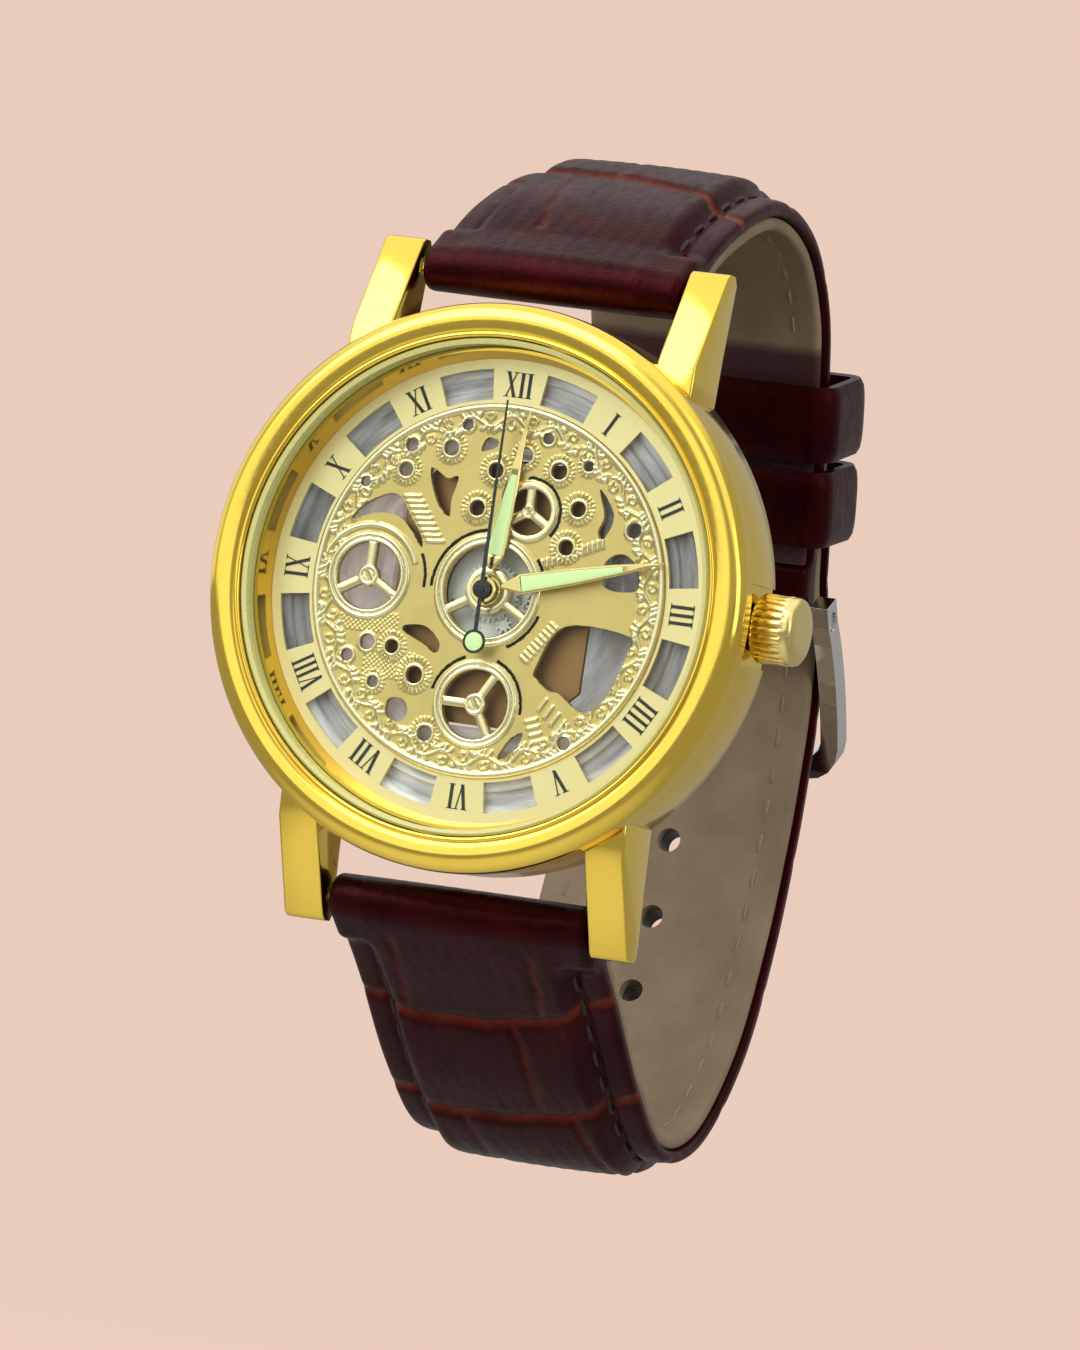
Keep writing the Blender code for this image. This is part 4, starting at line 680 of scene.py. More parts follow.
def build_bezel(gold):
    seat = CASE_FRONT - 0.05
    dome = arc((BEZEL_OUTER - BEZEL_ROUND, BEZEL_TOP + BEZEL_ROUND), BEZEL_ROUND, 0, -95, 14)
    inner_slope = arc((BEZEL_INNER + 0.85, BEZEL_TOP + 0.65), 0.62, -100, -165, 6)
    lip = arc((BEZEL_INNER + 0.23, BEZEL_TOP + 0.28), 0.2, -20, -180, 8)
    profile = [(BEZEL_OUTER, seat), (BEZEL_OUTER, BEZEL_SHOULDER), *dome, *inner_slope, *lip,
               (BEZEL_INNER, seat)]
    piece("bezel_ring", turned(profile), gold, "case", ["bezel"], 50)


def build_mid_case(gold):
    profile = [(CASE_BORE, CASE_FRONT), (CASE_RADIUS - 0.25, CASE_FRONT),
               (CASE_RADIUS - 0.05, CASE_FRONT + 0.12), (CASE_RADIUS, CASE_FRONT + 0.35),
               (CASE_RADIUS, CASE_BACK - 0.6), (CASE_RADIUS - 0.15, CASE_BACK - 0.2),
               (CASE_RADIUS - 0.5, CASE_BACK), (BACK_SEAT_RADIUS, CASE_BACK),
               (BACK_SEAT_RADIUS, BACK_SEAT_FLOOR), (CASE_BORE, BACK_SEAT_FLOOR)]
    body = piece("case_band", turned(profile), gold, "case", ["mid_case"], 30)
    notch = [(-5.7, -NOTCH_HALF), (0.5, -NOTCH_HALF), (0.5, NOTCH_HALF), (-5.7, NOTCH_HALF)]
    cut(body, prism(notch, [], NOTCH_FLOOR, CASE_RADIUS + 1, facing_x))
    shade(body, 30)
    for side, side_name in ((1, "right"), (-1, "left")):
        for end, end_name in ((1, "12"), (-1, "6")):
            outline = [(y, end * z) for y, z in LUG_SIDE]
            low, high = sorted((side * LUG_INNER, side * LUG_OUTER))
            shape = prism(outline, [], low, high, facing_x)
            piece(f"lug_{end_name}_{side_name}", shape, gold, "case",
                  bevel=0.32, sharp=30)


def build_crown(gold):
    """Fluted side, smooth rounded rim and a plain, slightly domed end."""
    steps = CROWN_FLUTES * 10
    angle = np.linspace(0, 2 * math.pi, steps, endpoint=False)
    ribs = np.abs(np.sin(angle * CROWN_FLUTES / 2)) ** 0.6
    stations = [(CROWN_START, 1.7, 0.0), (CROWN_START, 2.15, 0.0), (CROWN_START + 0.12, 2.32, 0.3),
                (CROWN_START + 0.35, CROWN_RADIUS, 1.0), (CROWN_END - 1.0, CROWN_RADIUS, 1.0),
                (CROWN_END - 0.85, CROWN_RADIUS - 0.02, 0.4), (CROWN_END - 0.75, 2.42, 0.0),
                (CROWN_END - 0.5, 2.44, 0.0), (CROWN_END - 0.25, 2.34, 0.0),
                (CROWN_END - 0.08, 2.12, 0.0), (CROWN_END, 1.8, 0.0), (CROWN_END + 0.03, 1.0, 0.0),
                (CROWN_END + 0.04, 0.02, 0.0)]
    rows = []
    for x, radius, share in stations:
        reach = radius - CROWN_FLUTE_DEPTH * share * (1 - ribs)
        rows.append(np.stack([x + 0 * angle, STEM_Y + reach * np.cos(angle),
                              reach * np.sin(angle)], axis=-1))
    shape = grid_shape(np.array(rows), wrap_columns=True)
    piece("crown_cap", shape, gold, "crown_assembly", ["crown"], 45)


def build_holder(plastic):
    """The clear ring round the movement, with moulded steps under the dial's windows."""
    outline = circle(HOLDER_RADIUS)
    half_x, half_z, corner = HOLDER_OPENING
    opening = [(half_x - corner, -half_z), (half_x, -half_z + corner), (half_x, half_z - corner),
               (half_x - corner, half_z), (-half_x + corner, half_z), (-half_x, half_z - corner),
               (-half_x, -half_z + corner), (-half_x + corner, -half_z)]
    body = piece("holder_body", prism(outline, [opening], *HOLDER_LEVELS, facing_y), plastic,
                 "case", ["movement_holder"], bevel=0.15)
    stem_hole = [(0.01, 6.0), (STEM_HOLE_RADIUS, 6.0), (STEM_HOLE_RADIUS, 18.0), (0.01, 18.0)]
    cut(body, turned(stem_hole, (0.0, STEM_Y, 0.0), True, 32, False))
    cut(body, prism(LEVER_ROOM, [], half_x - 0.7, half_x + 1.2, facing_x))
    steps = [(13.0, -4.28), (13.0, -4.5), (13.5, -4.7), (14.2, -4.72), (14.35, -4.45), (15.1, -4.42),
             (15.25, -4.7), (16.1, -4.73), (16.5, -4.5), (16.9, -4.45), (16.9, -4.28)]
    piece("holder_steps", turned(steps), plastic, "case", sharp=20)


def build_glass(glass, gasket, gold):
    profile = [(0.02, CRYSTAL_FRONT), (CRYSTAL_RADIUS - CRYSTAL_BEVEL, CRYSTAL_FRONT),
               (CRYSTAL_RADIUS, CRYSTAL_FRONT + CRYSTAL_BEVEL), (CRYSTAL_RADIUS, CRYSTAL_BACK),
               (0.02, CRYSTAL_BACK)]
    piece("crystal_glass", turned(profile, closed=False), glass, "case",
          ["crystal"])
    ring = [(17.22, -6.46), (17.66, -6.46), (17.66, -8.2), (17.5, -8.36), (17.22, -8.3)]
    piece("gasket_ring", turned(ring), gasket, "case", ["crystal_gasket"])
    wall = [(16.5, -5.26), (17.15, -5.26), (17.15, -6.9), (16.9, -6.9)]
    wall_gold = metal("inner_wall_gold", (0.98, 0.64, 0.07), 0.1)
    piece("inner_wall", turned(wall), wall_gold, "case", ["rehaut_ring"])
    back = [(15.9, -0.98), (15.2, -1.05), (15.2, -1.3), (18.0, -1.3), (18.0, -0.25),
            *arc((17.75, -0.25), 0.25, 0, 90, 4), (16.0, 0.0), (15.95, -0.08)]
    piece("back_ring", turned(back), gold, "case", ["case_back"])


# ---------------------------------------------------------------- dial

def numeral_strokes(text):
    """Outlines of a Roman numeral's strokes round its own middle, bottom at 0."""
    total = sum(LETTERS[letter][0] for letter in text)
    squeeze = NUMERAL_SQUEEZE * min(1.0, NUMERAL_WIDEST / total)
    strokes = []

    def quad(bottom, top, low, high, width):
        half = width / 2
        corners = [(bottom - half, low), (bottom + half, low), (top + half, high), (top - half, high)]
        strokes.append([(a * squeeze, b) for a, b in corners])

    cursor = -total / 2
    for letter in text:
        letter_width, bars, feet = LETTERS[letter]
        middle = cursor + letter_width / 2
        for bottom, top, width in bars:
            quad(middle + bottom, middle + top, 0.0, NUMERAL_HEIGHT, width)
        for place, width, levels in feet:
            for low in levels:
                quad(middle + place, middle + place, low, low + SERIF, width)
        cursor += letter_width
    return strokes


def build_numerals(ink):
    shapes = []
    for number, text in enumerate(NUMERALS):
        for layer, stroke in enumerate(numeral_strokes(text)):
            lifted = [(a, b + NUMERAL_RADIUS - NUMERAL_HEIGHT / 2) for a, b in stroke]
            outline = turned_clockwise(lifted, 30 * number)
            front = DIAL_FRONT - 0.03 - 0.001 * (layer % 3)
            shapes.append(prism(outline, [], front, DIAL_FRONT + 0.02, facing_y))
    piece("numerals", joined(*shapes), ink, "case")


def build_chapter_ring(gold):
    windows = []
    for n in range(12):
        middle = 90 - (15 + 30 * n)
        windows.append(arc((0, 0), WINDOW_OUTER, middle - WINDOW_HALF_ANGLE,
                           middle + WINDOW_HALF_ANGLE, 16)
                       + arc((0, 0), WINDOW_INNER, middle + WINDOW_HALF_ANGLE,
                             middle - WINDOW_HALF_ANGLE, 16))
    holes = [*windows, circle(RELIEF_RADIUS - 0.3)]
    shape = prism(circle(DIAL_RADIUS), holes, DIAL_FRONT, DIAL_BACK, facing_y)
    piece("chapter_ring", shape, gold, "case", sharp=30)


def segment_distance(x, z, a, b):
    ax, az = a
    dx, dz = b[0] - ax, b[1] - az
    t = np.clip(((x - ax) * dx + (z - az) * dz) / max(dx * dx + dz * dz, 1e-9), 0, 1)
    return np.hypot(x - ax - t * dx, z - az - t * dz)


def spline_point(a, b, c, d, t):
    """The point a share t of the way from b to c on a smooth curve that comes from a and goes to d."""
    return 0.5 * (2 * b + (c - a) * t + (2 * a - 5 * b + 4 * c - d) * t * t
                  + (3 * b - a - 3 * c + d) * t ** 3)


def rounded_loop(corners, steps=5):
    """A closed smooth curve through the corners."""
    points = [np.array(p) for p in corners]
    count = len(points)
    curve = []
    for n in range(count):
        a, b, c, d = (points[(n + k) % count] for k in (-1, 0, 1, 2))
        for t in np.arange(steps) / steps:
            curve.append(tuple(spline_point(a, b, c, d, t)))
    return curve


def inside_depth(x, z, corners):
    """How far a point lies inside a rounded polygon; negative outside, and only known nearby."""
    low_x, high_x = min(a for a, _ in corners) - 1, max(a for a, _ in corners) + 1
    low_z, high_z = min(b for _, b in corners) - 1, max(b for _, b in corners) + 1
    close = (x > low_x) & (x < high_x) & (z > low_z) & (z < high_z)
    depth = np.full(x.shape, -1.0)
    depth[close] = polygon_depth(x[close], z[close], rounded_loop(corners))
    return depth


def polygon_depth(x, z, corners):
    nearest = np.full(x.shape, 1e9)
    crossings = np.zeros(x.shape, int)
    for a, b in zip(corners, corners[1:] + corners[:1]):
        nearest = np.minimum(nearest, segment_distance(x, z, a, b))
        straddles = (a[1] > z) != (b[1] > z)
        rise = b[1] - a[1] if b[1] != a[1] else 1e-9
        crossings += straddles & (x < a[0] + (z - a[1]) * (b[0] - a[0]) / rise)
    return np.where(crossings % 2 == 1, nearest, -nearest)


def spoke_distance(x, z, wheel):
    """Distance from the nearest of a wheel's three spokes."""
    cx, cz, _, rim, _, first = wheel
    return np.min([segment_distance(x, z, (cx, cz), (cx + rim * math.cos(math.radians(first + a)),
                                                     cz + rim * math.sin(math.radians(first + a))))
                   for a in (0, 120, 240)], axis=0)


def dial_material(x, z):
    """How far each point lies inside the relief disc's metal; negative in its openings."""
    metal_depth = RELIEF_RADIUS - np.hypot(x, z)
    for cx, cz, hole, _ in JEWEL_HOLES:
        metal_depth = np.minimum(metal_depth, np.hypot(x - cx, z - cz) - hole)
    for corners, wider in CUT_OUTS:
        metal_depth = np.minimum(metal_depth, -inside_depth(x, z, corners) - wider)
    for wheel in WHEELS:
        cx, cz, opening, rim, hub, _ = wheel
        distance = np.hypot(x - cx, z - cz)
        open_depth = np.minimum(opening - distance, distance - hub)
        open_depth = np.minimum(open_depth, spoke_distance(x, z, wheel) - SPOKE_HALF)
        metal_depth = np.where(distance < rim, np.minimum(RELIEF_RADIUS, -open_depth), metal_depth)
    return np.minimum(metal_depth, np.hypot(x, z) - ARBOR_HOLE)


def ridge(distance, half_width):
    return np.sqrt(np.clip(1 - (distance / half_width) ** 2, 0, 1))


def in_arc(angle, start, end):
    middle, half = (start + end) / 2, (end - start) / 2
    return np.abs((angle - middle + 180) % 360 - 180) < half


def border_scrolls():
    """A waving stem with curls and leaves round the disc's border: (start, end, half width)."""
    def spot(number, out, along=0.0):
        radius = BORDER_RADIUS + out
        angle = 2 * math.pi * number / SCROLL_COUNT + along / BORDER_RADIUS
        return (radius * math.cos(angle), radius * math.sin(angle))

    strokes = []
    for n in range(SCROLL_COUNT):
        side = 1 if n % 2 else -1
        vary = math.sin(2.4 * n)
        stem = [spot(n + t, -side * 0.4 * math.cos(math.pi * t)) for t in np.linspace(-0.5, 0.5, 6)]
        strokes += [(a, b, 0.11) for a, b in zip(stem, stem[1:])]
        curl = []
        for k in range(7):
            turn = math.radians(52 * k - 60 + 35 * vary)
            reach = 0.4 - 0.04 * k
            curl.append(spot(n, side * (0.3 + reach * math.sin(turn)), reach * math.cos(turn)))
        strokes += [(a, b, 0.1) for a, b in zip(curl, curl[1:])]
        for k, start in enumerate((-0.7, -0.35, 0.05, 0.4)):
            swing = 0.12 * math.sin(3.1 * n + 1.7 * k)
            root = spot(n, -side * 0.36, start)
            tip = spot(n, -side * 0.7 + swing, start + 0.22 + swing)
            strokes.append((root, tip, 0.12 + 0.25 * abs(swing)))
        strokes.append((spot(n + 0.5, side * 0.5), spot(n + 0.5, side * 0.62, 0.2 * vary), 0.15))
    return strokes


def dial_relief(x, z):
    """Height of the stamped relief, and where black painted shadow marks the thin gaps round the
    wheels.
    """
    radius = np.hypot(x, z)
    height = np.zeros(x.shape)
    gap_shadow = np.zeros(x.shape)

    def add(shape, kind):
        np.maximum(height, shape * HEIGHT[kind], out=height)

    add(ridge(radius - BORDER_RIDGE, 0.26), "border")
    band = (radius > BORDER_INNER) & (radius < BORDER_OUTER)
    bx, bz = x[band], z[band]
    scrolls = np.zeros(bx.shape)
    for start, end, width in border_scrolls():
        scrolls = np.maximum(scrolls, ridge(segment_distance(bx, bz, start, end), width))
    height[band] = np.maximum(height[band], scrolls * HEIGHT["scroll"])

    for cx, cz, hole, rays in JEWEL_HOLES:
        distance = np.hypot(x - cx, z - cz)
        add(ridge(distance - hole - 0.09, 0.12), "collar")
        if rays > SMALLEST_RAYS:
            angle = np.arctan2(z - cz, x - cx)
            teeth = np.clip(np.cos(angle * round(rays * 18)) * 1.8 + 0.1, 0, 1)
            reach = (np.clip((distance - hole - 0.2) / 0.08, 0, 1)
                     * np.clip((rays - distance) / 0.1, 0, 1))
            add(teeth * reach, "rays")

    for wheel in WHEELS:
        cx, cz, opening, rim, hub, first = wheel
        distance = np.hypot(x - cx, z - cz)
        inside = distance < rim
        height[inside] = 0.0
        gap_shadow[inside] = 0.0
        add(ridge(distance - opening - 0.17, 0.17), "rim")
        add(ridge(distance - rim + 0.16, 0.17), "rim")
        add(np.clip(1 - np.abs(distance - (opening + rim) / 2) / 0.35, 0, 1), "web")
        add(ridge(spoke_distance(x, z, wheel), 0.34) * (distance < opening), "spoke")
        add(ridge(distance - hub * 0.8, hub * 0.22), "hub")
        if hub < 1.0:  # a slotted screw head fills the small hubs
            add(np.clip((hub * 0.62 - distance) / 0.06, 0, 1), "screw")
            slot = np.abs((x - cx) * math.sin(1.0) + (z - cz) * math.cos(1.0)) < 0.09
            height[slot & (distance < hub * 0.6)] = HEIGHT["slot"]

    guard_x, guard_z = WHEELS[0][:2]
    guard = np.hypot(x - guard_x, z - guard_z) - GUARD_RADIUS
    guarded = in_arc(np.degrees(np.arctan2(z - guard_z, x - guard_x)), 20, 160)
    add(ridge(guard, 0.2) * guarded, "guard")

    for first, last, count, length, direction in LADDERS:
        reach = (length / 2 * math.cos(math.radians(direction)),
                 length / 2 * math.sin(math.radians(direction)))
        for n in range(count):
            share = n / (count - 1)
            mx = first[0] + (last[0] - first[0]) * share
            mz = first[1] + (last[1] - first[1]) * share
            bar = segment_distance(x, z, (mx - reach[0], mz - reach[1]),
                                   (mx + reach[0], mz + reach[1]))
            add(ridge(bar, 0.13), "ladder")

    beads = np.clip(np.cos(x * BEAD_WAVE) * np.cos(z * BEAD_WAVE), 0, 1) * (radius < BORDER_INNER)
    for middle_x, middle_z, half_x, half_z in BEAD_FIELDS:
        add(beads * (np.abs(x - middle_x) < half_x) * (np.abs(z - middle_z) < half_z), "bead")

    # Painted shadow: black arcs where thin gaps round the wheels lie in shade.
    for centre, arc_radius, start, end in GAP_SHADOW_ARCS:
        angle = np.degrees(np.arctan2(z - centre[1], x - centre[0]))
        line = np.abs(np.hypot(x - centre[0], z - centre[1]) - arc_radius)
        here = (line < 0.12) & in_arc(angle, start, end)
        gap_shadow[here] = 1.0
        height[here] = 0.0
    return height, gap_shadow


def build_relief_disc(material):
    """The stamped disc as a fine grid whose points slide onto the edges of its openings."""
    reach = np.arange(-RELIEF_RADIUS - RELIEF_STEP, RELIEF_RADIUS + 2 * RELIEF_STEP, RELIEF_STEP)
    x, z = np.meshgrid(reach, reach, indexing="ij")
    probe = 0.01
    for _ in range(2):
        depth = dial_material(x, z)
        slope_x = (dial_material(x + probe, z) - depth) / probe
        slope_z = (dial_material(x, z + probe) - depth) / probe
        steepness = np.maximum(slope_x ** 2 + slope_z ** 2, 0.3)
        near = np.abs(depth) < RELIEF_STEP * 0.55
        x = np.where(near, x - depth * slope_x / steepness, x)
        z = np.where(near, z - depth * slope_z / steepness, z)
    kept = dial_material(x, z) > -RELIEF_STEP * 0.25
    height, gap_shadow = dial_relief(x, z)
    y = DIAL_FRONT - RELIEF_LIFT - height

    width = x.shape[1]
    full = kept[:-1, :-1] & kept[1:, :-1] & kept[:-1, 1:] & kept[1:, 1:]
    r, c = np.nonzero(full)
    quads = np.stack([r * width + c, r * width + c + 1, (r + 1) * width + c + 1,
                      (r + 1) * width + c], axis=-1)
    used, quads = np.unique(quads, return_inverse=True)
    quads = quads.reshape(-1, 4)
    points = np.stack([x.ravel(), y.ravel(), z.ravel()], axis=-1)[used]
    height, gap_shadow = height.ravel()[used], gap_shadow.ravel()[used]

    edges = np.concatenate([quads[:, [n, (n + 1) % 4]] for n in range(4)])
    ordered = np.sort(edges, axis=1)
    _, first_seen, times = np.unique(ordered, axis=0, return_index=True, return_counts=True)
    rim = edges[first_seen[times == 1]]
    rim_points, rim_index = np.unique(rim, return_inverse=True)
    rim_index = rim_index.reshape(-1, 2)
    count = len(points)
    below = points[rim_points].copy()
    below[:, 1] = DIAL_BACK
    walls = np.stack([rim[:, 0], rim[:, 1], rim_index[:, 1] + count, rim_index[:, 0] + count],
                     axis=-1)
    points = np.concatenate([points, below])
    zeros = np.zeros(len(below))
    values = {"height": np.concatenate([height, zeros]), "gap_shadow": np.concatenate([gap_shadow, zeros])}
    faces = np.concatenate([quads, walls]).tolist()
    piece("relief_disc", (points, faces), material, "case", ["dial"], 50, values)


# ---------------------------------------------------------------- hands

def blade_half(blade, distance):
    return np.interp(distance, [d for d, _ in blade], [w for _, w in blade])


def hand_shapes(blade, levels, angle, lume_range, ring_radii):
    """A flat blade with a sunk field and a ring at its root, and the lume in the field."""
    front, back = levels
    lume_start, lume_end = lume_range
    boss, hole = ring_radii
    stations = sorted({round(d, 3) for d in np.linspace(blade[0][0], blade[-1][0], 40)}
                      | {d for d, _ in blade} | {lume_start, lume_end})
    rows = []
    for d in stations:
        half = float(blade_half(blade, d))
        inner = max(half - HAND_BORDER, half * 0.35)
        sunk = lume_start <= d <= lume_end
        floor = front + 0.06 if sunk else front - 0.02 * (half > 0.3)
        section = [(-half, back), (-half, front + 0.06), (-half + 0.05, front + 0.01), (-inner, front),
                   (-inner * 0.98, floor), (0.0, floor), (inner * 0.98, floor), (inner, front),
                   (half - 0.05, front + 0.01), (half, front + 0.06), (half, back)]
        rows.append([(a, y, d) for a, y in section])
    blade_shape = capped_tube(np.array(rows))
    ring = turned([(hole, back), (boss, back), (boss, front + 0.05), (boss - 0.05, front),
                   (hole, front)], steps=64)
    field_d = np.linspace(lume_start + 0.03, lume_end, 24)
    lume_rows = []
    for d in field_d:
        half = max(float(blade_half(blade, d)) - HAND_BORDER - 0.02, 0.02)
        lume_rows.append([(half * c, front + 0.045 - 0.05 * math.sqrt(max(0.0, 1 - c * c)), d)
                          for c in np.linspace(-1, 1, 9)])
    lume_shape = grid_shape(np.array(lume_rows))

    def rotated(shape):
        points = np.array(shape[0])
        flat = turned_clockwise(points[:, [0, 2]], angle)
        return [(a, y, b) for (a, b), y in zip(flat, points[:, 1])], shape[1]

    return joined(rotated(blade_shape), ring), rotated(lume_shape)


def build_hands(gold, black, lume_material):
    for name, blade, levels, angle, lume_range, ring_radii in HANDS:
        blade_and_ring, field = hand_shapes(blade, levels, angle, lume_range, ring_radii)
        body = f"{name}_arbor"
        piece(f"{name}_blade", blade_and_ring, gold, body, [f"{name}_hand"], 25)
        piece(f"{name}_lume", field, lume_material, body)

    front, back = SECONDS_LEVELS
    tail = (NEEDLE_TAIL_HALF, 0.75 - COUNTERWEIGHT_DISTANCE)
    right_edge = [tail, *((half, along) for along, half in reversed(NEEDLE))]
    left_edge = [(-half, along) for half, along in reversed(right_edge)]
    needle = turned_clockwise(right_edge + left_edge, SECONDS_ANGLE)
    weight = turned_clockwise([(0.0, -COUNTERWEIGHT_DISTANCE)], SECONDS_ANGLE)[0]
    centre = (weight[0], 0.0, weight[1])
    frame_ring = turned([(COUNTERWEIGHT_HOLE, back), (COUNTERWEIGHT_RADIUS, back),
                         (COUNTERWEIGHT_RADIUS, front + 0.04), (COUNTERWEIGHT_RADIUS - 0.04, front),
                         (COUNTERWEIGHT_HOLE + 0.04, front), (COUNTERWEIGHT_HOLE, front + 0.04)],
                        centre, steps=48)
    boss = turned([(0.02, front - 0.16), (0.2, front - 0.16), (0.26, front - 0.1),
                   (0.3, front - 0.02), (SECONDS_BOSS - 0.06, front),
                   (SECONDS_BOSS, front + 0.06), (SECONDS_BOSS, back), (0.25, back)],
                  steps=48, closed=False)
    shape = joined(prism(needle, [], front + 0.02, back, facing_y), frame_ring, boss)
    piece("seconds_needle", shape, black, "seconds_arbor", ["seconds_hand"], 30)
    filling = COUNTERWEIGHT_HOLE + 0.01
    disc = turned([(0.01, front - 0.01), (0.4, front), (filling, front + 0.05), (filling, back),
                   (0.01, back)], centre, steps=40, closed=False)
    piece("seconds_lume", disc, lume_material, "seconds_arbor")


# ---------------------------------------------------------------- strap

class Path:
    """A smooth curve in the Y-Z plane, read by the distance along it."""

    def __init__(self, waypoints, side):
        first = 2 * np.array(waypoints[0]) - np.array(waypoints[1])
        last = 2 * np.array(waypoints[-1]) - np.array(waypoints[-2])
        known = np.array([first, *waypoints, last], float)
        points = []
        for a, b, c, d in zip(known, known[1:], known[2:], known[3:]):
            points += [spline_point(a, b, c, d, t) for t in np.arange(24) / 24]
        self.points = np.array([*points, known[-2]])
        steps = np.linalg.norm(np.diff(self.points, axis=0), axis=1)
        self.distances = np.concatenate([[0.0], np.cumsum(steps)])
        self.length = float(self.distances[-1])
        self.side = side

    def at(self, s):
        return np.stack([np.interp(s, self.distances, self.points[:, n]) for n in (0, 1)], axis=-1)

    def heading(self, s):
        ahead = self.at(np.minimum(np.asarray(s) + 0.6, self.length))
        behind = self.at(np.maximum(np.asarray(s) - 0.6, 0.0))
        step = ahead - behind
        return step / np.linalg.norm(step, axis=-1, keepdims=True)

    def outward(self, s):
        heading = self.heading(s)
        return self.side * np.stack([-heading[..., 1], heading[..., 0]], axis=-1)

    def place(self, x, s, lift):
        """Points at a place across, a distance along and a lift off the curve."""
        spot = self.at(s) + self.outward(s) * np.asarray(lift)[..., None]
        return np.stack([x + 0 * spot[..., 0], spot[..., 0], spot[..., 1]], axis=-1)

    def distance_at_height(self, z, after):
        places = np.linspace(after, self.length, 2000)
        return float(places[np.argmin(np.abs(self.at(places)[:, 1] - z))])


def smooth_step(value):
    t = np.clip(value, 0, 1)
    return t * t * (3 - 2 * t)


class Strap:
    """One half of the strap: its path, its thickness and the relief of its outer face."""

    def __init__(self, path, thickness, first_groove, creases, padded_until, pointed):
        """padded_until is where the padding starts to fade; a pointed half ends in a rounded tip."""
        self.path = path
        self.ends = thickness
        self.first_groove = first_groove
        self.creases = creases
        self.padded_until = padded_until
        self.pointed = pointed

    def thickness(self, s):
        return self.ends[0] + (self.ends[1] - self.ends[0]) * s / self.path.length

    def half_width(self, s):
        half = STRAP_HALF_LUG + (STRAP_HALF_END - STRAP_HALF_LUG) * s / self.path.length
        if self.pointed:
            tip = np.clip(1 - (self.path.length - s) / TIP_LENGTH, 0, 1)
            half = half * np.sqrt(1 - tip ** 2)
        return half

    def groove(self, s, x):
        """Depth share of the crocodile emboss: a line across between scales, a few along them."""
        bend = 0.5 - 0.12 * x - 0.016 * x * x + 0.12 * np.sin(x * 1.3 + s * 0.1)
        run = s - self.first_groove - bend
        row = np.maximum(np.round(run / SCALE_PITCH), 0)
        depth = np.exp(-((run - row * SCALE_PITCH) / 0.45) ** 2)
        section = np.floor(run / SCALE_PITCH) + 1
        begun = smooth_step((s - 0.5) / 2.0)
        for number in range(int(section.max()) + 1):
            for offset in self.creases[number % len(self.creases)]:
                sway = 0.3 * np.sin(s * 0.45 + number)
                line = np.exp(-((x - offset - sway) / 0.2) ** 2) * 0.6
                depth = np.maximum(depth, line * (section == number) * begun)
        return depth

    def lift(self, s, x):
        """Height of the outer face above the middle line."""
        half = self.half_width(s)
        plain = self.thickness(s) / 2
        detail = smooth_step((self.path.length - 1.5 - s) / 6.0) if self.pointed else 1.0
        fade = 1 - 0.75 * smooth_step((s - self.padded_until) / PADDING_FADE)
        border = smooth_step((np.abs(x) - half + BORDER_WIDTH) / 1.5)
        start = smooth_step((s - PADDING_START) / 2.2)
        drop = BORDER_DROP * border * start * fade
        line = np.exp(-((np.abs(x) - half + STITCH_INSET) / 0.42) ** 2) * start * STITCH_GROOVE
        crown = STRAP_CROWN * (1 - (x / np.maximum(half, 1.0)) ** 2) * fade
        row = (s - self.first_groove) / SCALE_PITCH % 1.0
        pillow = SCALE_CROWN * np.sin(math.pi * row) * (1 - border)
        emboss = self.groove(s, x) * (EMBOSS_DEPTH - EMBOSS_LOSS_AT_BORDER * border)
        ripples = RIPPLES * np.sin(x * 5.1 + np.sin(s * 0.9) * 1.5) * (1 - border)
        return plain + (crown + pillow + ripples - drop - line - emboss) * detail


def short_strap():
    path = Path(SHORT_WAYPOINTS, 1)
    return Strap(path, SHORT_THICKNESS, SHORT_FIRST_GROOVE, SHORT_CREASES, 34.0, False)


def long_strap():
    """The long half, whose tail lies on the outside of the short half."""
    short = Path(SHORT_WAYPOINTS, 1)
    touching = []
    for back, lift in ((0.0, TAIL_LIFT + 0.35), *((c, TAIL_LIFT) for c in TAIL_CONTACTS)):
        s = short.length - back
        touching.append(tuple(short.at(s) + short.outward(s) * lift))
    path = Path([*LONG_WAYPOINTS, *touching], -1)
    return Strap(path, LONG_THICKNESS, LONG_FIRST_GROOVE, LONG_CREASES, 30.0, True)


